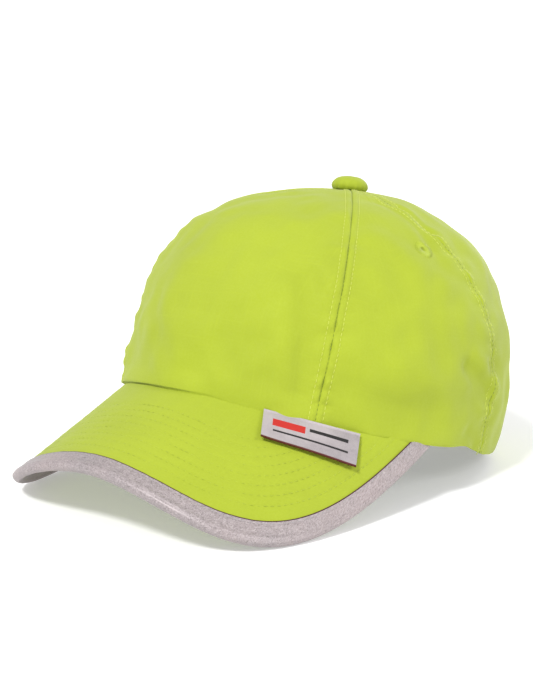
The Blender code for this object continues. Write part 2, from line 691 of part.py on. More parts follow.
def add_label(columns=9, rows=3):
    """A reflective label sewn along its upper edge, lying over the brim's bend and free to lift."""
    step = math.radians(1)
    root, ahead = wall_curve(np.array([LABEL_MIDDLE, LABEL_MIDDLE + step]), BRIM_THICKNESS / 2)
    along = (ahead - root) / np.linalg.norm(ahead - root)
    down = np.array([-along[1], along[0]]) * -1
    if down[0] < 0:
        down = -down
    root = root + down * 0.9 * MM
    across = np.linspace(-LABEL_LENGTH / 2, LABEL_LENGTH / 2, columns)[:, None, None]
    away = np.linspace(0, LABEL_HEIGHT, rows)[None, :, None]
    flat = root + across * along + away * down
    under = BRIM_THICKNESS / 2 + LABEL_CLEARANCE + LABEL_LIFT * np.broadcast_to(away / LABEL_HEIGHT, flat.shape)[..., 0]
    sides = [offset(brim_face, flat[..., 0], flat[..., 1], under + layer_top) for layer_top in (LABEL_THICKNESS, 0)]
    origin = (sides[0][columns // 2, 0] + sides[1][columns // 2, 0]) / 2
    add_sheet("reflective_label", *sides, PRINTED_LABEL, origin=origin)


# ---------------------------------------------------------------- impact liner


def shell_edge(angle):
    """Height of the impact shell's lower edge, which clears the rear opening."""
    behind = smoothstep(np.abs(angle), math.radians(105), math.radians(150))
    return mix(SHELL_EDGE_FRONT, SHELL_EDGE_REAR, behind)


def add_shell():
    """The impact shell with its ventilation slots."""
    columns, rows = 40, 11
    angle = np.linspace(-math.pi, math.pi, columns, endpoint=False)[:, None]
    start = shell_edge(angle) / SHELL_HEIGHT
    climb = mix(start, 0.99995, 1 - (1 - np.linspace(0, 1, rows)) ** 2.2)
    outer, inner = layer(shell_face, *np.broadcast_arrays(angle, climb), SHELL_WALL)
    shell = add_sheet("impact_shell", outer, inner, SHELL_PLASTIC, closed=True)
    close_top(shell, outer[:, -1], inner[:, -1])
    slots = [(sign * turn, 0.72) for sign in (1, -1) for turn in (55, 78, 101, 124)]
    for number, (turn, climb_at) in enumerate(slots):
        cut(shell, add_vent_cutter(f"vent_cutter_{number}", math.radians(turn), climb_at))
    slide = REST @ Vector((0, 0, 0))
    move_origin(shell, slide)


def close_top(shell, outer_ring, inner_ring):
    """Replaces the small hole left at the shell's top with two caps."""
    shape = bmesh.new()
    shape.from_mesh(shell.data)
    rings = [
        [min(shape.verts, key=lambda v, p=point: (v.co - Vector(p)).length_squared) for point in ring]
        for ring in (outer_ring, inner_ring)
    ]
    wall = [face for face in shape.faces if all(v in rings[0] + rings[1] for v in face.verts)]
    bmesh.ops.delete(shape, geom=wall, context="FACES_ONLY")
    for ring in rings:
        shape.faces.new(ring)
    bmesh.ops.recalc_face_normals(shape, faces=shape.faces)
    shape.to_mesh(shell.data)
    shape.free()


def add_vent_cutter(name, angle, climb):
    """A rounded slot that runs up the shell's side."""
    centre = offset(shell_face, np.array(angle), np.array(climb), np.array(0.0))
    normal = Vector(offset(shell_face, np.array(angle), np.array(climb), np.array(MM)) - centre).normalized()
    up = Vector(shell_face(np.array(angle), np.array(climb + 0.01)) - centre).normalized()
    axes = Matrix((up.cross(normal), up, normal)).transposed().to_4x4()
    place = Matrix.Translation(Vector(centre)) @ axes
    half, radius = VENT_LENGTH / 2 - VENT_WIDTH / 2, VENT_WIDTH / 2
    outline = []
    for end, first in ((half, 0.0), (-half, math.pi)):
        outline += [
            (radius * math.cos(first + turn), end + radius * math.sin(first + turn))
            for turn in np.linspace(0, math.pi, 5)
        ]
    count = len(outline)
    points = [place @ Vector((x, y, z)) for z in (-8 * MM, 8 * MM) for x, y in outline]
    faces = [tuple(range(count)), tuple(range(count, 2 * count))]
    faces += [(k, (k + 1) % count, (k + 1) % count + count, k + count) for k in range(count)]
    return add_piece(name, points, faces, SHELL_PLASTIC)


def move_origin(piece, point):
    """Puts the piece's origin at a point without moving its shape."""
    piece.data.transform(Matrix.Translation(-point))
    piece.location = point


def add_foam_pad(name, middle, half_span, low, high, columns=9, rows=6):
    """A pad on the shell's inner face, as an angle and a height range with rounded corners."""
    side = np.linspace(-1, 1, columns)
    low_edge, high_edge = low / SHELL_HEIGHT, high / SHELL_HEIGHT
    bow = (high_edge - low_edge) * 0.18 * np.abs(side) ** 4
    climb = np.linspace(low_edge + bow, high_edge - bow, rows, axis=1)
    angle = np.broadcast_to((middle + side * half_span)[:, None], climb.shape)
    add_sheet(name, *layer(shell_face, angle, climb, FOAM), FOAM_BLACK, origin=REST.translation)


def add_liner():
    """The impact shell and five foam pads, which come out of the cap together."""
    add_shell()
    add_foam_pad("front_foam_pad", 0.0, math.radians(36), 43 * MM, 84 * MM, 11)
    add_foam_pad("rear_foam_pad", math.pi, math.radians(24), 64 * MM, 88 * MM)
    for side, sign in (("left", 1), ("right", -1)):
        add_foam_pad(f"side_foam_pad_{side}", sign * math.radians(90), math.radians(9), 43 * MM, 74 * MM, 5)
    columns, rings = 20, 5
    angle = np.linspace(-math.pi, math.pi, columns, endpoint=False)[:, None]
    start = np.full((columns, 1), 0.965)
    climb = mix(start, 0.99995, 1 - (1 - np.linspace(0, 1, rings)) ** 2.6)
    outer, inner = layer(shell_face, *np.broadcast_arrays(angle, climb), FOAM)
    pad = add_sheet("crown_foam_pad", outer, inner, FOAM_BLACK, closed=True)
    close_top(pad, outer[:, -1], inner[:, -1])
    move_origin(pad, REST.translation)


def main():
    for leftover in list(bpy.data.objects):
        bpy.data.objects.remove(leftover)
    add_crown()
    add_sweatband()
    add_rear_strap()
    add_brim()
    add_label()
    add_liner()


main()
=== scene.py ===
"""Looks of a high-visibility bump cap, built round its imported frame.

The outside is a soft five-panel crown with a bent, reflective-edged brim. Inside are a padded
sweatband, a removable impact shell and its foam pads. Metres, +Z up, the brim towards -Y, the
wearer's left towards +X. An angle round the crown is 0 at the front, 90 degrees at the wearer's
left and 180 at the rear; a climb is a height as a share of the crown's height.
"""

import logging
import math
from dataclasses import dataclass, field
from enum import Enum
from typing import Callable, Iterable, Sequence

import bmesh
import bpy
import numpy as np
from mathutils import Matrix, Vector, noise


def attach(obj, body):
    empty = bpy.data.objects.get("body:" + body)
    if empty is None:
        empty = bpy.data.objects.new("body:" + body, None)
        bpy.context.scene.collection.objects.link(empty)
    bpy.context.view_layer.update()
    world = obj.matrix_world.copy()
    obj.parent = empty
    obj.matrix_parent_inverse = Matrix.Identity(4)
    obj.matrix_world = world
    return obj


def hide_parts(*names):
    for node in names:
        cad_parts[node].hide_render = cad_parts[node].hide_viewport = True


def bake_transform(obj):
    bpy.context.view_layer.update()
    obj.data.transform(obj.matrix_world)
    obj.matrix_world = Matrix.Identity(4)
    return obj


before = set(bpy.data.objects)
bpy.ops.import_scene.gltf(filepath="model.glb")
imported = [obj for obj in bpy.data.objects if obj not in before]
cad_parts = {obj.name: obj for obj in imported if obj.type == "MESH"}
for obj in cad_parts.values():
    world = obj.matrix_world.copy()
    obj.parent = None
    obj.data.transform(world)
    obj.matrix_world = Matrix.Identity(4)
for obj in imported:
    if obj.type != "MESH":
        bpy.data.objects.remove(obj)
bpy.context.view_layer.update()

Array = np.ndarray
Curve = Callable[[Array], Array]
LOG = logging.getLogger("bump_cap")

MM = 0.001
LEAN = math.radians(8.82)  # the whole crown leans back on its hem
TO_ORIGIN = 24.14 * MM
REAR_REACH = 95.7 * MM
REST = Matrix.Translation((0, TO_ORIGIN, REAR_REACH * math.sin(LEAN) - 1.06 * MM)) @ Matrix.Rotation(-LEAN, 4, "X")
REST_TURN = np.array(REST.to_3x3())
REST_MOVE = np.array(REST.translation)


# ---------------------------------------------------------------- small maths


def mix(low: Array, high: Array, share: Array) -> Array:
    """The value a share of the way from low to high."""
    return low + (high - low) * share


def smoothstep(value: Array, low: float, high: float) -> Array:
    """0 below low, 1 above high, and a smooth rise between."""
    share = np.clip((value - low) / (high - low), 0, 1)
    return share * share * (3 - 2 * share)


def bell(value: Array, width: float) -> Array:
    """A smooth bump of height 1 at zero that fades over width."""
    return np.exp(-((value / width) ** 2))


def unit(vectors: Array) -> Array:
    """The vectors, each with length 1."""
    return vectors / np.maximum(np.linalg.norm(vectors, axis=-1, keepdims=True), 1e-12)


def to_rest(points: Array) -> Array:
    """Points of the headband's frame, moved to where the cap rests on the table."""
    return points @ REST_TURN.T + REST_MOVE


def ripple(points: Array, scale: float, seed: float) -> Array:
    """Smooth noise from -1 to 1 at each point.

    Args:
        points: places, shaped (..., 3), in metres.
        scale: rough distance between bumps, in metres.
        seed: picks one pattern of noise.

    Returns:
        One value for each point.
    """
    flat = np.asarray(points).reshape(-1, 3) / scale + seed
    values = [noise.noise(Vector(p)) for p in flat]
    return np.array(values).reshape(np.shape(points)[:-1])


def lengths_along(points: Array) -> Array:
    """How far along a curve each of its points is, from 0."""
    return np.concatenate([[0], np.cumsum(np.linalg.norm(np.diff(points, axis=0), axis=1))])


def curve_length(points: Array) -> float:
    """The length of a curve."""
    return float(np.linalg.norm(np.diff(points, axis=0), axis=1).sum())


def by_length(points: Array, count: int) -> Array:
    """Points spaced evenly along a curve."""
    along = lengths_along(points)
    wanted = np.linspace(0, along[-1], count)
    return np.stack([np.interp(wanted, along, points[:, k]) for k in range(points.shape[1])], axis=1)


def by_step(points: Array, step: float) -> Array:
    """Points spaced about one step apart along a curve."""
    return by_length(points, max(int(round(curve_length(points) / step)) + 1, 3))


# ---------------------------------------------------------------- surfaces


@dataclass(frozen=True)
class Profile:
    """How one side of a dome narrows as it climbs."""

    rise: float
    pull: float
    tuck: float = 0.0


@dataclass(frozen=True)
class Dome:
    """An oval dome in the headband's frame, such as the crown or the impact shell."""

    half_width: float
    front_reach: float
    rear_reach: float
    height: float
    setback: float
    front: Profile
    rear: Profile
    tuck_height: float = 45.5 * MM

    def section(self, angle: Array) -> tuple[Array, Array, Array, Array]:
        """The profile's (rise, pull, tuck) at an angle, and the dome's reach fore or aft there."""
        front = (1 + np.cos(angle)) / 2
        rise, pull, tuck = (
            mix(getattr(self.rear, part), getattr(self.front, part), front) for part in ("rise", "pull", "tuck")
        )
        return rise, pull, tuck, np.where(np.cos(angle) > 0, self.front_reach, self.rear_reach)

    def face(self, angle: Array, climb: Array) -> Array:
        """Points on the dome's outer face.

        Args:
            angle: angles round the dome, in radians.
            climb: heights as shares of the dome's height.

        Returns:
            Points in metres, with a last axis of 3.
        """
        angle, climb = np.broadcast_arrays(angle, climb)
        rise, pull, tuck, reach = self.section(angle)
        radius = np.clip(1 - np.clip(climb, 0, 1) ** rise, 0, 1) ** (1 / pull)
        radius = radius * (1 - tuck * np.clip(1 - climb * self.height / self.tuck_height, 0, 3) ** 2)
        x = self.half_width * np.sin(angle) * radius
        y = -reach * np.cos(angle) * radius + self.setback * climb
        return to_rest(np.stack([x, y, self.height * climb], axis=-1))

    def top_climb(self, angle: Array, radius: float) -> Array:
        """The climb at which the dome has narrowed to this radius round its top."""
        rise, pull, _, reach = self.section(angle)
        span = np.hypot(self.half_width * np.sin(angle), reach * np.cos(angle))
        return (1 - (radius / span) ** pull) ** (1 / rise)

    def spread(self, angle: Array, climb: Array) -> Array:
        """Metres along the dome for each radian round it, at each place."""
        step = 1e-4
        return np.linalg.norm(self.face(angle + step, climb) - self.face(angle, climb), axis=-1) / step


@dataclass(frozen=True)
class BrimShape:
    """The brim's middle layer: a flat pattern bent round a fore-and-aft axis."""

    crest: float = 46.58 * MM
    slope: float = math.radians(23.9)
    root: float = 19.2 * MM
    reach: float = 129.3 * MM
    half_width: float = 105.1 * MM
    roundness: float = 2.9
    bend: float = 89.3 * MM
    flare: float = 0.071
    even_at: float = 0.6
    thickness: float = 3.0 * MM

    def bend_radius(self, forward: Array) -> Array:
        """The bend's radius at a distance forward in the flat pattern."""
        return self.bend * (1 + self.flare * (forward / self.reach - self.even_at))

    def face(self, forward: Array, across: Array) -> Array:
        """Points on the bent middle layer for places in the flat pattern."""
        forward, across = np.broadcast_arrays(forward, across)
        radius = self.bend_radius(forward)
        y = -self.root - forward
        front_wall = -CROWN.front_reach * math.cos(LEAN)
        z = self.crest + math.tan(self.slope) * (y - front_wall) - radius * (1 - np.cos(across / radius))
        return np.stack([radius * np.sin(across / radius), y + TO_ORIGIN, z], axis=-1)

    def pattern_of(self, points: Array) -> tuple[Array, Array]:
        """Where points on the brim lie in its flat pattern, as (forward, across)."""
        forward = -self.root - (points[..., 1] - TO_ORIGIN)
        radius = self.bend_radius(forward)
        return forward, radius * np.arcsin(np.clip(points[..., 0] / radius, -1, 1))

    def outer_edge(self, turn: Array) -> Array:
        """Places on the pattern's outer edge, as (forward, across), turn being 0 at the front."""
        power = 2 / self.roundness
        forward = self.reach * np.cos(turn) ** power
        return np.stack([forward, self.half_width * np.sign(turn) * np.abs(np.sin(turn)) ** power], axis=1)


CROWN = Dome(
    86.0 * MM, 101.1 * MM, REAR_REACH, 116.3 * MM, 6.0 * MM, Profile(3.73, 2.24, 0.005), Profile(2.48, 2.48, 0.066)
)
SHELL = Dome(77.2 * MM, 94.2 * MM, 83.4 * MM, 111.0 * MM, 5.0 * MM, Profile(3.0, 2.8), Profile(3.0, 2.8))
BRIM = BrimShape()


def face_normal(face: Callable[[Array, Array], Array], first: Array, second: Array) -> Array:
    """The face's unit normal, which is outwards on the domes and upwards on the brim."""
    step = 1e-5
    along = face(first + step, second) - face(first - step, second)
    up = face(first, second + step) - face(first, second - step)
    return unit(np.cross(along, up))


def offset(face: Callable[[Array, Array], Array], first: Array, second: Array, distance: Array) -> Array:
    """The face moved along its normal by one distance or by one for each point."""
    return face(first, second) + face_normal(face, first, second) * np.asarray(distance)[..., None]


def hem_climb(angle: Array, brim_side: float | None = None) -> Array:
    """The climb of the crown's lower edge, which follows the brim in front and lies on the table behind.

    Args:
        angle: angles round the crown, in radians.
        brim_side: -1 for the brim's underside and 1 for its top, or None for the cloth's own edge, which is
            tucked behind the brim in front and rises over the brim's ends.

    Returns:
        One climb for each angle.
    """
    angle = np.asarray(angle, float)
    climb = np.zeros_like(angle)
    around = np.abs(angle)
    side = brim_side
    if side is None:
        side = mix(-0.4, 1.05, smoothstep(around, math.radians(60), math.radians(68)))
    settle = 2.2 * MM * smoothstep(around, math.radians(122), math.radians(150))
    base = CROWN.face(angle, climb)[..., 2] - settle
    behind = smoothstep(around, math.radians(70.9), math.radians(105.9))
    raised = 1.7 * MM * bell(around - math.radians(105), math.radians(8)) if brim_side is None else 0.0
    for _ in range(8):
        wall = CROWN.face(angle, climb)
        foot = BRIM.pattern_of(wall)
        rise = side * BRIM.thickness / 2 / face_normal(BRIM.face, *foot)[..., 2]
        height = mix(BRIM.face(*foot)[..., 2] + rise, np.maximum(base, 0), behind) + raised
        climb = climb + (height - wall[..., 2]) / (CROWN.height * math.cos(LEAN))
    return climb


def wall_curve(angle: Array, height: float, gap: float = 0.4 * MM) -> Array:
    """The crown's wall as (forward, across) in the brim's layer at a height above its middle."""
    climb = hem_climb(angle, height / (BRIM.thickness / 2))
    wall = offset(CROWN.face, angle, climb, np.full(np.shape(angle), gap))
    normal = face_normal(BRIM.face, *BRIM.pattern_of(wall))
    return np.stack(BRIM.pattern_of(wall - normal * height), axis=1)


def brim_curves(count: int, end: float, height: float) -> tuple[Array, Array]:
    """A brim layer's inner and outer edges in its flat pattern, from the wearer's right to the left.

    Args:
        count: points along each edge.
        end: the angle round the crown where the layer passes under the crown's hem.
        height: the layer's height above the brim's middle.

    Returns:
        Two arrays shaped (count, 2).
    """
    inner = wall_curve(np.linspace(-end, end, 181), height, -0.3 * MM)
    tail = [-0.5 * MM, BRIM.half_width - 9 * MM]
    inner = np.concatenate([[[tail[0], -tail[1]]], inner, [tail]])
    return by_length(inner, count), by_length(BRIM.outer_edge(np.linspace(-math.pi / 2, math.pi / 2, 1441)), count)


def dome_grid(
    dome: Dome, left: Curve, right: Curve, columns: int, rows: int, low: Array, top: Array,
    shares: Array | None = None, close: float = 0.0
) -> tuple[Array, Array]:
    """Angles and climbs of a grid between two lines up a dome, with rows evenly spaced.

    Args:
        dome: the dome.
        left: angle of the first line at a climb.
        right: angle of the last line at a climb.
        columns: points across.
        rows: points up.
        low: climb where each column starts.
        top: climb where each column ends.
        shares: where each column lies between the two lines, even if not given.
        close: 1 to draw the rows closer together near the hem, 0 for even rows.

    Returns:
        Two arrays shaped (columns, rows).
    """
    share = (np.linspace(0, 1, columns) if shares is None else shares)[:, None]
    fine = mix(np.reshape(low, (-1, 1)), np.reshape(top, (-1, 1)), 1 - (1 - np.linspace(0, 1, 240)) ** 3)
    fine = np.broadcast_to(fine, (columns, 240))
    path = dome.face(mix(left(fine), right(fine), share), fine)
    along = np.cumsum(np.pad(np.linalg.norm(np.diff(path, axis=1), axis=-1), ((0, 0), (1, 0))), axis=1)
    climbs = np.empty((columns, rows))
    places = np.linspace(0, 1, rows)
    places = places - 0.6 * close * places * (1 - places)
    for c in range(columns):
        climbs[c] = np.interp(along[c, -1] * places, along[c], fine[c])
    return mix(left(climbs), right(climbs), share), climbs


# ---------------------------------------------------------------- meshes


@dataclass
class Shape:
    """Points, faces and cloth coordinates in metres, gathered before they become one mesh."""

    points: list[Array] = field(default_factory=list)
    faces: list[Array] = field(default_factory=list)
    cloth: list[Array] = field(default_factory=list)
    count: int = 0

    def add(self, points: Array, faces: Iterable[Array], cloth: Array | None = None) -> None:
        """Adds a block of points and the faces between them.

        Args:
            points: places, with a last axis of 3.
            faces: arrays of point numbers, each shaped (faces, corners).
            cloth: flat cloth coordinates, with a last axis of 2.
        """
        points = np.asarray(points).reshape(-1, 3)
        flat = points[:, :2] if cloth is None else np.asarray(cloth).reshape(-1, 2)
        self.points.append(points)
        self.cloth.append(flat)
        self.faces += [np.asarray(block) + self.count for block in faces]
        self.count += len(points)

    def build(self, name: str, sharp: float = 50.0) -> bpy.types.Object:
        """Makes the object, shaded smooth with sharp edges over an angle in degrees."""
        mesh = bpy.data.meshes.new(name)
        faces = [face for block in self.faces for face in block.tolist()]
        mesh.from_pydata(np.concatenate(self.points).tolist(), [], faces)
        self.face_outwards(mesh)
        corners = np.empty(len(mesh.loops), np.int32)
        mesh.loops.foreach_get("vertex_index", corners)
        layer = mesh.uv_layers.new(name="Cloth")
        layer.data.foreach_set("uv", np.concatenate(self.cloth)[corners].astype(np.float32).ravel())
        mesh.shade_smooth()
        mesh.set_sharp_from_angle(angle=math.radians(sharp))
        piece = bpy.data.objects.new(name, mesh)
        bpy.context.scene.collection.objects.link(piece)
        return piece

    @staticmethod
    def face_outwards(mesh: bpy.types.Mesh) -> None:
        """Turns every face of the mesh's closed parts outwards."""
        net = bmesh.new()
        net.from_mesh(mesh)
        bmesh.ops.recalc_face_normals(net, faces=net.faces)
        net.to_mesh(mesh)
        net.free()


def grid_faces(columns: int, rows: int, closed: bool = False, flip: bool = False) -> Array:
    """Quads of a grid whose points are numbered column by column."""
    last = columns if closed else columns - 1
    c, r = (axis.ravel() for axis in np.meshgrid(np.arange(last), np.arange(rows - 1), indexing="ij"))
    following = (c + 1) % columns
    quads = np.stack([c * rows + r, following * rows + r, following * rows + r + 1, c * rows + r + 1], axis=1)
    return quads[:, ::-1] if flip else quads


def cloth_lengths(points: Array) -> Array:
    """Flat coordinates in metres for a grid of points, from its middle column and first row."""
    across = np.linalg.norm(np.diff(points, axis=0), axis=-1)
    across = np.concatenate([np.zeros((1, points.shape[1])), np.cumsum(across, axis=0)])
    across = across - across[len(across) // 2]
    up = np.linalg.norm(np.diff(points, axis=1), axis=-1)
    up = np.concatenate([np.zeros((points.shape[0], 1)), np.cumsum(up, axis=1)], axis=1)
    return np.stack([across, up], axis=-1)


def two_skins(outer: Array, inner: Array, closed: bool = False, cloth: Array | None = None) -> Shape:
    """A thin closed solid between two grids of points.

    Args:
        outer: the outer skin, shaped (columns, rows, 3).
        inner: the inner skin, the same shape.
        closed: whether the first column joins the last.
        cloth: flat coordinates of the outer skin, worked out from it if not given.

    Returns:
        The shape, ready to build.
    """
    columns, rows = outer.shape[:2]
    count = columns * rows
    flat = cloth_lengths(outer) if cloth is None else cloth
    rim = np.arange(columns) * rows
    if closed:
        loops = [np.append(rim, rim[0]), np.append(rim, rim[0]) + rows - 1]
    else:
        up = rim[-1] + np.arange(1, rows)
        loops = [np.concatenate([rim, up, rim[::-1][1:] + rows - 1, np.arange(rows - 2, -1, -1)])]
    faces = [grid_faces(columns, rows, closed), grid_faces(columns, rows, closed, True) + count]
    for number, loop in enumerate(loops):
        wall = np.stack([loop[:-1], loop[:-1] + count, loop[1:] + count, loop[1:]], axis=1)
        faces.append(wall[:, ::-1] if number else wall)
    shape = Shape()
    points = np.concatenate([outer.reshape(-1, 3), inner.reshape(-1, 3)])
    shape.add(points, faces, np.concatenate([flat, flat]).reshape(-1, 2))
    return shape


def add_tubes(shape: Shape, paths: Array, normals: Array, radii: Array, sides: int = 6) -> None:
    """Adds many short tubes of one pattern, such as stitches, to a shape.

    Args:
        shape: what they are added to.
        paths: centre lines, shaped (tubes, rings, 3).
        normals: a direction that isn't along the path, the same shape.
        radii: the radius at each ring.
        sides: corners round each ring.
    """
    tubes, rings = paths.shape[:2]
    along = unit(np.gradient(paths, axis=1))
    side = unit(np.cross(along, normals))
    up = np.cross(side, along)
    turn = np.linspace(0, math.tau, sides, endpoint=False)
    circle = side[:, :, None] * np.cos(turn)[:, None] + up[:, :, None] * np.sin(turn)[:, None]
    points = paths[:, :, None] + circle * np.reshape(radii, (1, -1, 1, 1))
    ring, corner = (axis.ravel() for axis in np.meshgrid(np.arange(rings - 1), np.arange(sides), indexing="ij"))
    after = (corner + 1) % sides
    this, following = ring * sides, (ring + 1) * sides
    quads = np.stack([this + corner, following + corner, following + after, this + after], axis=1)
    starts = np.arange(tubes)[:, None, None] * rings * sides
    caps = np.stack([np.arange(sides), (rings - 1) * sides + np.arange(sides)[::-1]])
    shape.add(points, [(quads[None] + starts).reshape(-1, 4), (caps[None] + starts).reshape(-1, sides)])


@dataclass(frozen=True)
class Stitching:
    """A run of thread along a seam."""

    pitch: float = 2.6 * MM
    length: float = 1.9 * MM
    radius: float = 0.17 * MM
    sink: float = 0.22 * MM

    def sew(self, shape: Shape, path: Array, normal: Array) -> None:
        """Adds stitches along a path.

        Args:
            shape: what they are added to.
            path: points on the cloth, shaped (points, 3).
            normal: the cloth's outward normal at each point.
        """
        along = lengths_along(path)
        middles = np.arange(self.pitch / 2, along[-1] - self.pitch / 2, self.pitch)
        share = np.linspace(-1, 1, 5)
        where = middles[:, None] + share * self.length / 2
        centre = np.stack([np.interp(where, along, path[:, k]) for k in range(3)], axis=-1)
        up = unit(np.stack([np.interp(where, along, normal[:, k]) for k in range(3)], axis=-1))
        lift = self.radius * 0.55 - self.sink * share**4
        radii = self.radius * np.array([0.45, 0.95, 1.0, 0.95, 0.45])
        add_tubes(shape, centre + up * lift[None, :, None], up, radii)


def turned(profile: Sequence[tuple[float, float]], segments: int = 64) -> Shape:
    """A solid of revolution about Z from (radius, height) points that start and end on the axis."""
    turn = np.linspace(0, math.tau, segments, endpoint=False)[:, None]
    radius, height = np.array(profile)[1:-1].T
    ring = np.stack([radius * np.cos(turn), radius * np.sin(turn), height + 0 * turn], axis=-1)
    rows = len(radius)
    ends = np.array([(0, 0, profile[0][1]), (0, 0, profile[-1][1])])
    count = segments * rows
    first = np.arange(segments) * rows
    after = np.roll(first, -1)
    caps = [
        np.stack([np.full(segments, count), after, first], axis=1),
        np.stack([np.full(segments, count + 1), first + rows - 1, after + rows - 1], axis=1),
    ]
    shape = Shape()
    shape.add(np.concatenate([ring.reshape(-1, 3), ends]), [grid_faces(segments, rows, True), *caps])
    return shape


def prism_faces(count: int) -> list[Array]:
    """The walls and both ends of a prism, for one end's outline of count points and then the other's."""
    around = np.arange(count)
    after = (around + 1) % count
    return [np.stack([around, after, after + count, around + count], axis=1), around[None, ::-1], around[None] + count]


def capped(outer: Array, inner: Array) -> Shape:
    """A closed ring between two skins, with a face over each skin's top instead of the wall between them."""
    columns, rows = outer.shape[:2]
    shape = two_skins(outer, inner, closed=True)
    top = np.arange(columns) * rows + rows - 1
    shape.faces = [*shape.faces[:3], top[None], top[::-1][None] + columns * rows]
    return shape


def cut_away(piece: bpy.types.Object, cutter: bpy.types.Object) -> None:
    """Cuts the cutter's shape out of the piece for good, and removes the cutter."""
    modifier = piece.modifiers.new("Cut", "BOOLEAN")
    modifier.operation, modifier.solver, modifier.object = "DIFFERENCE", "EXACT", cutter
    graph = bpy.context.evaluated_depsgraph_get()
    made = bpy.data.meshes.new_from_object(piece.evaluated_get(graph))
    piece.modifiers.clear()
    piece.data = made
    bpy.data.objects.remove(cutter)


def surface_place(dome: Dome, angle: float, climb: float, depth: float = 0.0) -> Matrix:
    """A placement on a dome with Z along its outward normal and Y up the dome."""
    turn, level = np.array(angle), np.array(climb)
    centre = Vector(offset(dome.face, turn, level, np.array(-depth)))
    normal = Vector(face_normal(dome.face, turn, level))
    up = (Vector(dome.face(turn, np.array(climb + 0.01))) - Vector(dome.face(turn, level))).normalized()
    axes = Matrix((up.cross(normal), up, normal)).transposed().to_4x4()
    return Matrix.Translation(centre) @ axes


# ---------------------------------------------------------------- materials


class Graph:
    """Short calls that add and join a node tree's nodes."""

    def __init__(self, tree: bpy.types.NodeTree) -> None:
        """Keeps the tree that nodes are added to."""
        self.tree = tree

    def add(self, kind: str, inputs: dict | None = None, **settings: object) -> bpy.types.Node:
        """Adds a node.

        Args:
            kind: the node's type, without its ShaderNode prefix.
            inputs: a value or a socket for each named or numbered input.
            settings: the node's own properties.

        Returns:
            The node.
        """
        node = self.tree.nodes.new(kind if kind.startswith("Node") else "ShaderNode" + kind)
        for name, value in settings.items():
            setattr(node, name, value)
        for name, value in (inputs or {}).items():
            self.join(value, node.inputs[name])
        return node

    def join(self, value: object, socket: bpy.types.NodeSocket) -> None:
        """Links a socket to this one, or sets its value."""
        if isinstance(value, bpy.types.NodeSocket):
            self.tree.links.new(value, socket)
        else:
            socket.default_value = value

    def math(self, operation: str, *values: object) -> bpy.types.NodeSocket:
        """The result of a maths node."""
        node = self.add("Math", operation=operation)
        for value, socket in zip(values, node.inputs):
            self.join(value, socket)
        return node.outputs[0]

    def blend(self, share: object, first: object, second: object) -> bpy.types.NodeSocket:
        """A mix of two colours."""
        node = self.add("Mix", data_type="RGBA")
        for value, socket in ((share, 0), (first, 6), (second, 7)):
            self.join(value, node.inputs[socket])
        return node.outputs[2]

    def steps(self, value: object, stops: Sequence[tuple[float, float]]) -> bpy.types.NodeSocket:
        """A value remapped through a ramp of (position, brightness) stops."""
        node = self.add("ValToRGB", {0: value})
        ramp = node.color_ramp
        while len(ramp.elements) < len(stops):
            ramp.elements.new(0.5)
        for element, (place, level) in zip(ramp.elements, stops):
            element.position, element.color = place, (level, level, level, 1)
        return node.outputs[0]

    def noise(self, place: object, scale: float, detail: float = 3.0, roughness: float = 0.5) -> bpy.types.NodeSocket:
        """Noise from 0 to 1."""
        inputs = {"Vector": place, "Scale": scale, "Detail": detail, "Roughness": roughness}
        return self.add("TexNoise", inputs).outputs[0]


class Effect(Enum):
    """The effects that several finishes share, each one node group."""

    WEAVE = "Weave"
    MOTTLE = "Mottle"
    GRAIN = "Grain"
    RIBS = "Ribs"


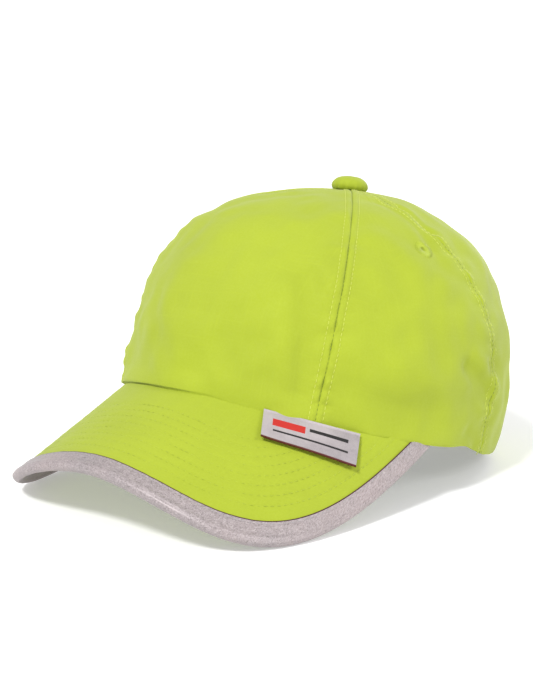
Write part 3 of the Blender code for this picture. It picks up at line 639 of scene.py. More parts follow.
class Effects:
    """Builds the shared node groups once and places them in materials."""

    def __init__(self) -> None:
        """Starts with no group built."""
        self.built: dict[Effect, bpy.types.NodeTree] = {}

    def tree(self, effect: Effect) -> bpy.types.NodeTree:
        """The effect's node group, built when it is first asked for."""
        if effect not in self.built:
            makers = {
                Effect.WEAVE: self.weave,
                Effect.MOTTLE: self.mottle,
                Effect.GRAIN: self.grain,
                Effect.RIBS: self.ribs,
            }
            self.built[effect] = makers[effect]()
        return self.built[effect]

    def place(self, graph: Graph, effect: Effect, **inputs: object) -> bpy.types.Node:
        """Adds the effect's group to a material, with its inputs set."""
        node = graph.add("Group", node_tree=self.tree(effect))
        for name, value in inputs.items():
            graph.join(value, node.inputs[name.replace("_", " ")])
        return node

    def start(
        self, name: str, inputs: dict[str, float | None], outputs: Sequence[str]
    ) -> tuple[Graph, dict, bpy.types.Node]:
        """An empty group with named sockets.

        Args:
            name: the group's name.
            inputs: each input's default, or None for a place.
            outputs: the names of its value outputs.

        Returns:
            The graph, its input sockets by name, and its output node.
        """
        tree = bpy.data.node_groups.new(name, "ShaderNodeTree")
        for label, value in inputs.items():
            kind = "NodeSocketVector" if value is None else "NodeSocketFloat"
            socket = tree.interface.new_socket(label, in_out="INPUT", socket_type=kind)
            if value is not None:
                socket.default_value = value
        for label in outputs:
            tree.interface.new_socket(label, in_out="OUTPUT", socket_type="NodeSocketFloat")
        graph = Graph(tree)
        entry = graph.add("NodeGroupInput")
        return graph, {label: entry.outputs[label] for label in inputs}, graph.add("NodeGroupOutput")

    def weave(self) -> bpy.types.NodeTree:
        """Plain weave: Height of the threads, and Slub where a thread runs thick."""
        graph, given, out = self.start("Weave", {"Place": None, "Threads": 2200.0, "Slub": 0.3}, ["Height", "Slub"])
        place = graph.add("SeparateXYZ", {0: given["Place"]})
        along, up = (graph.math("MULTIPLY", place.outputs[k], given["Threads"]) for k in (0, 1))
        cells = graph.math("ADD", graph.math("FLOOR", along), graph.math("FLOOR", up))
        over = graph.math("ABSOLUTE", graph.math("MODULO", cells, 2.0))
        threads = []
        for value, across in ((along, up), (up, along)):
            middle = graph.math("SUBTRACT", graph.math("MULTIPLY", graph.math("FRACT", value), 2.0), 1.0)
            round_side = graph.math("SQRT", graph.math("SUBTRACT", 1.0, graph.math("MULTIPLY", middle, middle)))
            crest = graph.math("SINE", graph.math("MULTIPLY", graph.math("FRACT", across), math.pi))
            raised = graph.math("ADD", graph.math("MULTIPLY", crest, 0.6), 0.4)
            threads.append(graph.math("MULTIPLY", round_side, raised))
        under = graph.math("SUBTRACT", 1.0, over)
        height = graph.math("ADD", graph.math("MULTIPLY", threads[0], over), graph.math("MULTIPLY", threads[1], under))
        long_cells = graph.add("Mapping", {"Vector": given["Place"], "Scale": (900.0, 40.0, 1.0)})
        tall_cells = graph.add("Mapping", {"Vector": given["Place"], "Scale": (40.0, 900.0, 1.0)})
        slubs = graph.math("MAXIMUM", *(graph.noise(cells.outputs[0], 1.0, 2.0) for cells in (long_cells, tall_cells)))
        slub = graph.steps(slubs, [(0.52, 0.0), (0.75, 1.0)])
        graph.join(graph.math("ADD", height, graph.math("MULTIPLY", slub, given["Slub"])), out.inputs["Height"])
        graph.join(slub, out.inputs["Slub"])
        return graph.tree

    def mottle(self) -> bpy.types.NodeTree:
        """Soft, broad unevenness from dyeing and handling, and fine specks."""
        graph, given, out = self.start("Mottle", {"Place": None, "Scale": 30.0}, ["Broad", "Specks"])
        noise_node = graph.add("TexNoise", {"Vector": given["Place"], "Scale": given["Scale"], "Detail": 4.0})
        graph.join(graph.steps(noise_node.outputs[0], [(0.3, 0.0), (0.7, 1.0)]), out.inputs["Broad"])
        fine_scale = graph.math("MULTIPLY", given["Scale"], 45.0)
        fine = graph.add("TexNoise", {"Vector": given["Place"], "Scale": fine_scale, "Detail": 2.0})
        graph.join(graph.steps(fine.outputs[0], [(0.35, 0.0), (0.65, 1.0)]), out.inputs["Specks"])
        return graph.tree

    def grain(self) -> bpy.types.NodeTree:
        """Pebbled grain of moulded plastic or foam: Height of the pebbles and Pores between them."""
        graph, given, out = self.start("Grain", {"Place": None, "Scale": 900.0}, ["Height", "Pores"])
        cells = graph.add("TexVoronoi", {"Vector": given["Place"], "Scale": given["Scale"]}, feature="SMOOTH_F1")
        graph.join(graph.steps(cells.outputs["Distance"], [(0.0, 1.0), (0.7, 0.0)]), out.inputs["Height"])
        fine = graph.add("TexNoise", {"Vector": given["Place"], "Scale": given["Scale"], "Detail": 3.0})
        graph.join(graph.steps(fine.outputs[0], [(0.55, 0.0), (0.68, 1.0)]), out.inputs["Pores"])
        return graph.tree

    def ribs(self) -> bpy.types.NodeTree:
        """Cords that run along woven tape: their Height, and a Herringbone across them."""
        graph, given, out = self.start("Ribs", {"Place": None, "Ribs": 900.0}, ["Height", "Herringbone"])
        place = graph.add("SeparateXYZ", {0: given["Place"]})
        across = graph.math("MULTIPLY", place.outputs[1], given["Ribs"])
        rib = graph.math("ABSOLUTE", graph.math("SINE", graph.math("MULTIPLY", across, math.pi)))
        graph.join(rib, out.inputs["Height"])
        lean = graph.math("PINGPONG", across, 1.0)
        picks = graph.math("ADD", graph.math("MULTIPLY", place.outputs[0], given["Ribs"]), lean)
        crossing = graph.math("ABSOLUTE", graph.math("SINE", graph.math("MULTIPLY", picks, math.pi)))
        graph.join(crossing, out.inputs["Herringbone"])
        return graph.tree


EFFECTS = Effects()
Colour = tuple[float, float, float]


def tint(colour: Colour, share: float) -> tuple[float, float, float, float]:
    """The colour made lighter or darker by a share, with full alpha."""
    return (*(min(part * share, 1.0) for part in colour), 1.0)


@dataclass(frozen=True)
class Finish:
    """A finish: its record slot, colour and gloss, and how it fills its material."""

    name: str
    slot: str
    colour: Colour
    roughness: float
    metallic: float = 0.0
    sheen: float = 0.0
    bump: float = 0.3
    depth: float = 0.05 * MM

    def material(self) -> bpy.types.Material:
        """The finish's material, made when it is first asked for."""
        made = bpy.data.materials.get(self.name)
        if made is not None:
            return made
        made = bpy.data.materials.new(self.name)
        made.use_nodes = True
        graph = Graph(made.node_tree)
        shader = made.node_tree.nodes["Principled BSDF"]
        shader.inputs["Metallic"].default_value = self.metallic
        shader.inputs["Sheen Weight"].default_value = self.sheen
        shader.inputs["Sheen Roughness"].default_value = 0.5
        colour, roughness, height = self.look(graph)
        graph.join(colour, shader.inputs["Base Color"])
        graph.join(roughness, shader.inputs["Roughness"])
        bump = graph.add("Bump", {"Strength": self.bump, "Distance": self.depth, "Height": height})
        graph.join(bump.outputs[0], shader.inputs["Normal"])
        return made

    def look(self, graph: Graph) -> tuple[object, object, object]:
        """Adds the nodes and returns (colour, roughness, height)."""
        raise NotImplementedError

    def cloth_place(self, graph: Graph) -> bpy.types.NodeSocket:
        """The piece's flat cloth coordinates, in metres."""
        return graph.add("UVMap", uv_map="Cloth").outputs[0]

    def solid_place(self, graph: Graph) -> bpy.types.NodeSocket:
        """The piece's own coordinates, in metres."""
        return graph.add("TexCoord").outputs["Object"]

    def uneven(self, graph: Graph, mask: object, spread: float) -> bpy.types.NodeSocket:
        """Roughness that varies by spread with a mask."""
        return graph.math("ADD", graph.math("MULTIPLY", mask, spread), self.roughness - spread / 2)


@dataclass(frozen=True)
class WovenCloth(Finish):
    """Plain-woven fabric, with threads a fraction of a millimetre apart."""

    threads: float = 2600.0
    slub: float = 0.25
    contrast: float = 0.05

    def look(self, graph: Graph) -> tuple[object, object, object]:
        """Weave in the height, and soft mottling in the colour."""
        weave = EFFECTS.place(graph, Effect.WEAVE, Place=self.cloth_place(graph), Threads=self.threads, Slub=self.slub)
        mottle = EFFECTS.place(graph, Effect.MOTTLE, Place=self.solid_place(graph), Scale=28.0)
        darker, lighter = tint(self.colour, 1 - self.contrast), tint(self.colour, 1 + self.contrast)
        broad = graph.blend(mottle.outputs["Broad"], darker, lighter)
        thread = graph.math("MULTIPLY", weave.outputs["Slub"], 0.35)
        colour = graph.blend(thread, broad, tint(self.colour, 1 + 2.2 * self.contrast))
        speck = graph.math("MULTIPLY", mottle.outputs["Specks"], 0.2)
        colour = graph.blend(speck, colour, tint(self.colour, 1 - 1.5 * self.contrast))
        return colour, self.uneven(graph, mottle.outputs["Specks"], 0.1), weave.outputs["Height"]


@dataclass(frozen=True)
class ReflectiveTape(Finish):
    """Cloth tape covered with tiny glass beads, which sparkle one by one as painted glints: random lighter cells in the
    colour.
    """

    warm: Colour = (0.345, 0.285, 0.285)
    edge: float = 0.5 * MM
    length: float = 20.5 * MM
    edge_colour: Colour = (0.055, 0.012, 0.018)

    def look(self, graph: Graph) -> tuple[object, object, object]:
        """Beads as small cells, some lightened as painted glints, over a cool and warm drift of grey."""
        place = self.cloth_place(graph)
        beads = graph.add("TexVoronoi", {"Vector": place, "Scale": 2600.0}, feature="F1")
        random = graph.add("SeparateColor", {0: beads.outputs["Color"]}).outputs[0]
        painted_glint = graph.steps(random, [(0.0, 0.0), (0.72, 0.25), (1.0, 1.0)])
        across = graph.add("SeparateXYZ", {0: place}).outputs[1]
        from_middle = graph.math("ABSOLUTE", graph.math("SUBTRACT", across, self.length / 2))
        edge = graph.math("GREATER_THAN", from_middle, self.length / 2 - self.edge)
        mottle = EFFECTS.place(graph, Effect.MOTTLE, Place=self.solid_place(graph), Scale=35.0)
        base = graph.blend(mottle.outputs["Broad"], tint(self.colour, 1.0), (*self.warm, 1.0))
        # painted glint: random bead cells pushed towards twice the tape's colour
        colour = graph.blend(graph.math("MULTIPLY", painted_glint, 0.6), base, tint(self.colour, 2.0))
        clumps = graph.steps(graph.noise(place, 900.0, 2.0), [(0.4, 0.0), (0.62, 1.0)])
        dull = graph.steps(random, [(0.0, 1.0), (0.4, 0.0)])
        dark = graph.math("MULTIPLY", dull, graph.math("ADD", graph.math("MULTIPLY", clumps, 0.4), 0.25))
        colour = graph.blend(dark, colour, tint(self.colour, 0.45))
        colour = graph.blend(edge, colour, (*self.edge_colour, 1.0))
        height = graph.math("SUBTRACT", 1.0, beads.outputs["Distance"])
        return colour, self.uneven(graph, random, 0.3), height


@dataclass(frozen=True)
class PrintedLabel(Finish):
    """Reflective label cloth with a dark rolled edge and plain printed bars."""

    height: float = 15.0 * MM
    edge: float = 0.7 * MM
    edge_colour: Colour = (0.10, 0.012, 0.02)
    block_colour: Colour = (0.5, 0.025, 0.02)
    ink: Colour = (0.018, 0.016, 0.018)

    def bar(
        self, graph: Graph, place: bpy.types.Node, middle: tuple[float, float], size: tuple[float, float]
    ) -> bpy.types.NodeSocket:
        """1 inside a rectangle of the label, and 0 outside it."""
        inside = []
        for axis in (0, 1):
            away = graph.math("ABSOLUTE", graph.math("SUBTRACT", place.outputs[axis], middle[axis]))
            inside.append(graph.math("LESS_THAN", away, size[axis] / 2))
        return graph.math("MULTIPLY", *inside)

    def look(self, graph: Graph) -> tuple[object, object, object]:
        """A grey that drifts along the label, its marks, and its edge."""
        flat = self.cloth_place(graph)
        place = graph.add("SeparateXYZ", {0: flat})
        beads = graph.add("TexVoronoi", {"Vector": flat, "Scale": 3200.0}, feature="F1")
        random = graph.add("SeparateColor", {0: beads.outputs["Color"]}).outputs[0]
        drift = graph.noise(self.solid_place(graph), 60.0, 2.0)
        drift = graph.steps(drift, [(0.35, 0.0), (0.65, 1.0)])
        colour = graph.blend(drift, tint(self.colour, 0.8), tint(self.colour, 1.25))
        colour = graph.blend(graph.math("MULTIPLY", random, 0.25), colour, tint(self.colour, 1.6))
        block = self.bar(graph, place, (-11 * MM, 8.4 * MM), (15 * MM, 3.2 * MM))
        colour = graph.blend(block, colour, (*self.block_colour, 1.0))
        for middle, size in (((8 * MM, 9.0 * MM), (19 * MM, 1.4 * MM)), ((0.0, 4.6 * MM), (36 * MM, 0.8 * MM))):
            colour = graph.blend(self.bar(graph, place, middle, size), colour, (*self.ink, 1.0))
        away = graph.math("ABSOLUTE", graph.math("SUBTRACT", place.outputs[1], self.height / 2))
        edge = graph.math("GREATER_THAN", away, self.height / 2 - self.edge)
        colour = graph.blend(edge, colour, (*self.edge_colour, 1.0))
        return colour, self.uneven(graph, random, 0.2), graph.math("SUBTRACT", 1.0, beads.outputs["Distance"])


@dataclass(frozen=True)
class Thread(Finish):
    """Twisted sewing thread."""

    def look(self, graph: Graph) -> tuple[object, object, object]:
        """Fine, uneven twist."""
        mottle = EFFECTS.place(graph, Effect.MOTTLE, Place=self.solid_place(graph), Scale=110.0)
        colour = graph.blend(mottle.outputs["Specks"], tint(self.colour, 0.88), tint(self.colour, 1.1))
        return colour, self.uneven(graph, mottle.outputs["Broad"], 0.1), mottle.outputs["Specks"]


@dataclass(frozen=True)
class Webbing(Finish):
    """Woven tape with cords along it."""

    ribs: float = 1100.0

    def look(self, graph: Graph) -> tuple[object, object, object]:
        """Cords with a herringbone across them."""
        ribs = EFFECTS.place(graph, Effect.RIBS, Place=self.cloth_place(graph), Ribs=self.ribs)
        mottle = EFFECTS.place(graph, Effect.MOTTLE, Place=self.solid_place(graph), Scale=40.0)
        height = graph.math("ADD", ribs.outputs["Height"], graph.math("MULTIPLY", ribs.outputs["Herringbone"], 0.6))
        shade = graph.math("MULTIPLY", ribs.outputs["Herringbone"], 0.4)
        colour = graph.blend(mottle.outputs["Broad"], tint(self.colour, 0.93), tint(self.colour, 1.05))
        colour = graph.blend(shade, colour, tint(self.colour, 1.15))
        return colour, self.uneven(graph, mottle.outputs["Specks"], 0.1), height


@dataclass(frozen=True)
class Moulded(Finish):
    """Moulded plastic or foam with a fine grain."""

    scale: float = 1100.0
    pores: float = 0.0

    def look(self, graph: Graph) -> tuple[object, object, object]:
        """Pebbled grain, with pores that sink and are darkened as painted shade, and scuffs that lighten it."""
        place = self.solid_place(graph)
        grain = EFFECTS.place(graph, Effect.GRAIN, Place=place, Scale=self.scale)
        mottle = EFFECTS.place(graph, Effect.MOTTLE, Place=place, Scale=45.0)
        colour = graph.blend(mottle.outputs["Broad"], tint(self.colour, 0.85), tint(self.colour, 1.25))
        pore_dip_and_shade = graph.math("MULTIPLY", grain.outputs["Pores"], self.pores)
        # painted shade: the pores are darkened towards a third of the colour
        colour = graph.blend(pore_dip_and_shade, colour, tint(self.colour, 0.35))
        height = graph.math("SUBTRACT", grain.outputs["Height"], pore_dip_and_shade)
        return colour, self.uneven(graph, mottle.outputs["Broad"], 0.14), height


@dataclass(frozen=True)
class Metal(Finish):
    """Pressed steel with fine specks."""

    def look(self, graph: Graph) -> tuple[object, object, object]:
        """Fine scratches and slight stains."""
        mottle = EFFECTS.place(graph, Effect.MOTTLE, Place=self.solid_place(graph), Scale=120.0)
        colour = graph.blend(mottle.outputs["Broad"], tint(self.colour, 0.85), tint(self.colour, 1.1))
        return colour, self.uneven(graph, mottle.outputs["Specks"], 0.2), mottle.outputs["Specks"]


HIGH_VIS: Colour = (0.306, 0.374, 0.0105)
CLOTH = WovenCloth("High-visibility cloth", "high_vis_fabric", HIGH_VIS, 0.8, sheen=0.12)
COVER_THREAD = Thread("Yellow thread", "high_vis_fabric", (0.35, 0.425, 0.02), 0.6, sheen=0.2)
TOP_THREAD = Thread("Light yellow thread", "high_vis_fabric", (0.46, 0.52, 0.06), 0.5, sheen=0.2)
# A dark thread: besides the seam's own stitches it stands for painted shade in the seam's groove.
GROOVE_SHADED_SEAM_THREAD = Thread("Seam thread", "high_vis_fabric", (0.15, 0.20, 0.01), 0.7)
PALE_THREAD = Thread("Pale thread", "reflective_tape", (0.36, 0.33, 0.34), 0.5)
TAPE = ReflectiveTape("Reflective tape", "reflective_tape", (0.27, 0.24, 0.245), 0.5, metallic=0.25, bump=0.5)
LABEL = PrintedLabel("Reflective label", "printed_label", (0.33, 0.295, 0.31), 0.42, metallic=0.25, bump=0.35)
COTTON = WovenCloth(
    "Sweatband cotton", "cotton", (0.335, 0.43, 0.036), 0.92, sheen=0.3, threads=1500.0, bump=0.5, depth=0.1 * MM
)
CARE = WovenCloth("Care label satin", "care_label", (0.82, 0.82, 0.80), 0.55, threads=3600.0, contrast=0.03)
STRAPPING = Webbing(
    "Strap webbing", "high_vis_fabric", (0.345, 0.45, 0.02), 0.75, sheen=0.15, bump=0.6, depth=0.15 * MM
)
HOOKS = Thread("Hook and loop", "hook_and_loop", (0.31, 0.40, 0.03), 0.6, sheen=0.2)
BOARD = Moulded("Brim board", "brim_board", (0.72, 0.72, 0.69), 0.5, bump=0.2)
HARD_SHELL = Moulded("Impact shell plastic", "shell_plastic", (0.022, 0.022, 0.024), 0.42, bump=0.35, depth=0.08 * MM)
# The only finish with pores, which are darkened as painted shade in the cells.
FOAM = Moulded(
    "Closed-cell foam", "foam", (0.035, 0.035, 0.038), 0.92, bump=0.7, depth=0.2 * MM, scale=1400.0, pores=0.8
)
STEEL = Metal("Pressed steel", "steel", (0.56, 0.56, 0.58), 0.34, metallic=1.0, bump=0.15)


def dress(piece: bpy.types.Object, finish: Finish, body: str, *nodes: str) -> bpy.types.Object:
    """Gives a piece its finish, sets it on its body and hides the nodes it stands for.

    Args:
        piece: the new piece.
        finish: its finish, which also names its record slot.
        body: the CAD body that it rides on.
        nodes: the CAD nodes that it stands for.

    Returns:
        The piece.
    """
    piece.data.materials.clear()
    piece.data.materials.append(finish.material())
    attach(piece, body)
    if nodes:
        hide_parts(*nodes)
    LOG.info("%s: %d faces, on %s", piece.name, len(piece.data.polygons), body)
    return piece


# ---------------------------------------------------------------- crown


class Side(Enum):
    """The wearer's sides, as the sign of an angle round the crown."""

    LEFT = 1
    RIGHT = -1

    @property
    def word(self) -> str:
        """The side's name in lower case."""
        return self.name.lower()


def front_seam(climb: Array) -> Array:
    """Angle of the left front seam, which leans a little as it climbs."""
    above = np.asarray(climb) - 0.5
    return math.radians(43.9) + math.radians(4.75) * above - math.radians(3.1) * above**2


def side_seam(climb: Array) -> Array:
    """Angle of the left side seam, which swings forward towards the button."""
    return math.radians(100.5) - math.radians(34.7) * np.clip(climb, 0, 1) ** 3.96


def rear_seam(climb: Array) -> Array:
    """Angle of the rear seam."""
    return math.pi + 0 * np.asarray(climb)


def mirrored(seam: Curve) -> Curve:
    """The same seam on the wearer's right."""
    return lambda climb: -seam(climb)


SEAMS: tuple[Curve, ...] = (front_seam, side_seam, rear_seam)


@dataclass(frozen=True)
class Fold:
    """A soft crease or ridge in the crown's cloth, between two (degrees, climb) places."""

    start: tuple[float, float]
    end: tuple[float, float]
    width: float
    rise: float  # outwards, or inwards if negative

    def lift(self, points: Array) -> Array:
        """How far the fold moves each point outwards."""
        first, last = (CROWN.face(np.radians(a), np.array(c)) for a, c in (self.start, self.end))
        along = last - first
        share = np.clip(((points - first) @ along) / (along @ along), 0, 1)
        away = np.linalg.norm(points - first - share[..., None] * along, axis=-1)
        return self.rise * bell(away, self.width)


@dataclass
class Crown:
    """Five cloth panels with rolled seams, their tapes, stitched air holes and the top button."""

    cloth: float = 0.7 * MM
    step: float = 1.15 * MM
    seam_gap: float = 0.03 * MM
    seam_depth: float = 0.4 * MM
    topstitch: float = 3.2 * MM
    top_hole: float = 4.0 * MM
    flare: float = 1.5 * MM
    eyelet_climb: float = 0.794
    eyelet_angles: tuple[tuple[str, float], ...] = (("side", math.radians(73.3)), ("rear", math.radians(140)))
    folds: tuple[Fold, ...] = (
        Fold((35, 0.64), (38.5, 0.25), 6.5 * MM, -1.7 * MM),
        Fold((29, 0.50), (31, 0.24), 8 * MM, 0.9 * MM),
        Fold((49, 0.20), (52, 0.06), 8 * MM, -1.7 * MM),
        Fold((58, 0.19), (72, 0.17), 9 * MM, -1.1 * MM),
        Fold((60, 0.33), (80, 0.30), 13 * MM, 0.9 * MM),
        Fold((86, 0.37), (98, 0.24), 3.6 * MM, -1.3 * MM),
        Fold((90, 0.41), (102, 0.29), 4.5 * MM, 0.8 * MM),
        Fold((90, 0.12), (95, 0.07), 4.0 * MM, -0.9 * MM),
        Fold((76, 0.945), (83, 0.865), 2.6 * MM, -1.1 * MM),
        Fold((64, 0.955), (78, 0.80), 3.4 * MM, -0.7 * MM),
        Fold((66, 0.93), (78, 0.83), 9.0 * MM, 0.5 * MM),
        Fold((-30, 0.30), (-20, 0.15), 12 * MM, -0.8 * MM),
        Fold((150, 0.62), (165, 0.70), 9 * MM, 0.8 * MM),
        Fold((-118, 0.30), (-128, 0.18), 5 * MM, -1.0 * MM),
        Fold((-88, 0.22), (-99, 0.33), 5 * MM, -0.9 * MM),
    )

    def seam_distance(self, angle: Array, climb: Array) -> tuple[Array, Array]:
        """How far each place is from the nearest seam, and which seam that is."""
        spread = CROWN.spread(angle, climb)
        away = [np.abs(np.abs(angle) - seam(climb)) * spread for seam in SEAMS]
        return np.min(away, axis=0), np.argmin(away, axis=0)

    def relief(self, angle: Array, climb: Array, seams: bool = True) -> Array:
        """How far the cloth stands off the dome at each place.

        Args:
            angle: angles round the crown.
            climb: climbs.
            seams: whether the seams' rolled edges are wanted too.

        Returns:
            Distances along the dome's normal, in metres.
        """
        points = CROWN.face(angle, climb)
        hem = hem_climb(angle[:, :1] if np.ndim(angle) == 2 else angle, 1.0)
        above_hem = (climb - hem) * CROWN.height
        calm = smoothstep(1 - climb, 0.0, 0.05) * 0.8 + 0.2
        lift = (1.7 * MM * ripple(points, 30 * MM, 3.0) + 1.3 * MM * ripple(points, 12 * MM, 9.0)) * calm
        for fold in self.folds:
            lift = lift + 1.8 * fold.lift(points)
        deepest = mix(1.7 * MM, 3.2 * MM, smoothstep(climb, 0.33, 0.45))
        lift = np.where(lift < 0, deepest * np.tanh(lift / deepest), lift)
        front = smoothstep(-np.degrees(angle), -22, 12) * smoothstep(-np.abs(np.degrees(angle)), -72, -60)
        lip = smoothstep(above_hem, 0.1 * MM, 0.9 * MM) * (1 - 0.6 * bell(angle - math.radians(42), math.radians(15)))
        lift = lift * mix(1, 0.25 + 0.75 * smoothstep(above_hem, 0, 9 * MM), front)
        flared = self.flare * front * lip * bell(np.maximum(above_hem - 0.9 * MM, 0), 6.5 * MM)
        lift = lift + flared - 0.3 * MM * front * (1 - lip)
        if not seams:
            return lift
        away, which = self.seam_distance(angle, climb)
        length = climb * CROWN.height
        wave = 0.5 + 0.5 * ripple(np.stack([length / 1.0, away * 0.3, which * 0.9], axis=-1), 5.0 * MM, 17.0)
        slow = 0.5 + 0.5 * ripple(np.stack([length, which * 0.9, 0 * away], axis=-1), 26 * MM, 5.0)
        pucker = np.clip((wave - 0.5) * 4.6, -1, 1) * (0.25 + 0.75 * slow) * np.exp(-away / (5.5 * MM)) * calm
        near_hem = 0.2 + 0.8 * smoothstep(above_hem, 1 * MM, 7 * MM)
        lift = lift + 1.5 * MM * pucker * (1 - bell(away, 0.8 * MM)) * near_hem
        raised = np.where(which == 0, 1.0, 0.45)
        ridge = 0.45 * MM * bell(away - 1.9 * MM, 1.7 * MM)
        lift = lift + raised * (ridge - 0.2 * MM * bell(away - self.topstitch, 0.55 * MM))
        return lift - self.seam_depth * bell(away, 0.34 * MM) * near_hem * raised

    def on_cloth(self, angle: Array, climb: Array) -> tuple[Array, Array]:
        """Points and normals on the cloth's outer side."""
        normal = face_normal(CROWN.face, angle, climb)
        return CROWN.face(angle, climb) + normal * self.relief(angle, climb)[..., None], normal

    def panel(self, name: str, left: Curve, right: Curve) -> bpy.types.Object:
        """Builds one panel between two seams, from the hem to the button."""
        width = (right(0.2) - left(0.2)) * CROWN.spread(np.array((left(0.2) + right(0.2)) / 2), np.array(0.2))
        columns = int(width / self.step) + 1
        share = np.linspace(0, 1, columns)
        share = share - 0.62 * np.sin(math.tau * share) / math.tau  # closer columns beside the seams
        low = hem_climb(mix(left(0.1), right(0.1), share))
        top = CROWN.top_climb(mix(left(1.0), right(1.0), share), self.top_hole)
        angle, climb = dome_grid(CROWN, left, right, columns, int(165 * MM / self.step), low, top, share, 1.0)
        nudge = (self.seam_gap / 2) / np.maximum(CROWN.spread(angle, climb), 1 * MM)
        angle = angle + nudge * mix(1.0, -1.0, share)[:, None]
        outer, normal = self.on_cloth(angle, climb)
        hem = np.arange(outer.shape[1]) * self.step * 0.4
        outer = outer - normal * (0.3 * MM * bell(hem, 0.9 * MM))[None, :, None]
        inner = outer - normal * self.cloth
        for skin in (outer, inner):
            skin[..., 2] = np.maximum(skin[..., 2], 0.1 * MM)
        return two_skins(outer, inner).build(name)

    def arch_outline(self, start: float, end: float, count: int) -> tuple[Array, Array]:
        """(x, z) points on the rear opening's outline, start and end being angles from the table."""
        turn = np.linspace(start, end, count)
        power = 2 / 2.4
        x = 33 * MM * np.sign(np.cos(turn)) * np.abs(np.cos(turn)) ** power
        return x, 56 * MM * np.abs(np.sin(turn)) ** power

    def rear_place(self, x: Array, z: Array) -> tuple[Array, Array]:
        """(angle, climb) of the crown's rear point at this x and height."""
        angle = math.pi - np.arcsin(np.clip(x / CROWN.half_width, -1, 1))
        climb = z / CROWN.height
        for _ in range(40):
            found = CROWN.face(angle, climb)
            angle = angle - (x - found[..., 0]) / CROWN.half_width
            climb = climb + (z - found[..., 2]) / CROWN.height
        return angle, climb

    def arch_cutter(self) -> bpy.types.Object:
        """A prism of the rear opening that reaches below the table."""
        x, z = self.arch_outline(0, math.pi, 81)
        outline = np.concatenate([[(x[0], -0.02)], np.stack([x, z], axis=1), [(x[-1], -0.02)]])
        count = len(outline)
        ends = [np.insert(outline, 1, y, axis=1) for y in (TO_ORIGIN + 45 * MM, TO_ORIGIN + 130 * MM)]
        around = np.arange(count)
        wall = np.stack([around, (around + 1) % count, (around + 1) % count + count, around + count], axis=1)
        shape = Shape()
        shape.add(np.concatenate(ends), [wall[:, ::-1], around[None], around[None, ::-1] + count])
        return shape.build("arch_cutter")

    def eyelet(self, panel: bpy.types.Object, name: str, angle: float) -> None:
        """Cuts an air hole in a panel and stitches its edge with close radial threads."""
        radius, hole, threads = 4.4 * MM, 1.1 * MM, 64
        lift = float(self.relief(np.array([angle]), np.array([self.eyelet_climb]))[0])
        place = surface_place(CROWN, angle, self.eyelet_climb, -lift)
        cutter = turned([(0, -4 * MM), (hole, -4 * MM), (hole, 4 * MM), (0, 4 * MM)], 24).build(name + "_cutter")
        cutter.matrix_world = place
        bpy.context.view_layer.update()
        cut_away(panel, cutter)
        shape = turned(
            [(0, -0.9 * MM), (hole + 0.5 * MM, -0.9 * MM), (radius - 0.5 * MM, -0.7 * MM)]
            + [(radius - 0.3 * MM, 0.05 * MM)]
            + [(2.9 * MM, 0.18 * MM), (hole + 0.35 * MM, -0.05 * MM), (hole + 0.1 * MM, -0.7 * MM), (0, -0.7 * MM)],
            64,
        )
        turn = np.linspace(0, math.tau, threads, endpoint=False)[:, None]
        reach = np.array([hole - 0.1 * MM, hole + 0.25 * MM, 2.3 * MM, 3.2 * MM, 4.1 * MM, radius, radius + 0.1 * MM])
        rise = np.array([-0.6, -0.05, 0.14, 0.18, 0.1, -0.12, -0.4]) * MM
        wobble = 1 + 0.05 * np.sin(turn * 23) * (reach > 4 * MM)
        centre = np.stack([reach * wobble * np.cos(turn), reach * wobble * np.sin(turn), rise + 0 * turn], axis=-1)
        up = np.broadcast_to([0.0, 0.0, 1.0], centre.shape)
        add_tubes(shape, centre, up, np.full(7, 0.165 * MM), 5)
        ring = shape.build(name)
        ring.data.transform(place)
        dress(ring, COVER_THREAD, "cap", name)

    def tape(self, name: str, seam: Curve, sign: int, low: float) -> None:
        """Lays the inner tape over a seam, with a row of stitches near each edge."""
        half, rows = 5 * MM, 110
        start = hem_climb(np.array([sign * seam(0.1)])) + low / CROWN.height
        top = CROWN.top_climb(np.array([seam(1.0)]), 12 * MM)
        _, climb = dome_grid(CROWN, seam, seam, 1, rows, start, top)
        side = np.linspace(-1, 1, 13)[:, None]
        angle = sign * (seam(climb) + side * half / CROWN.spread(seam(climb), climb))
        climb = np.broadcast_to(climb, angle.shape)
        edge = 0.12 * MM * (1 - np.abs(side) ** 6)
        normal = face_normal(CROWN.face, angle, climb)
        lift = self.relief(angle, climb, False)
        outer = CROWN.face(angle, climb) + normal * (lift - 1.3 * MM)[..., None]
        inner = CROWN.face(angle, climb) + normal * (lift - 1.7 * MM - edge)[..., None]
        piece = two_skins(outer[::sign], inner[::sign]).build(name)
        dress(piece, CLOTH, "cap", name)
        shape = Shape()
        for column in (2, 10):
            Stitching(3.0 * MM, 2.1 * MM).sew(shape, inner[column], -normal[column])
        threads = shape.build(name + "_threads")
        dress(threads, COVER_THREAD, "cap")

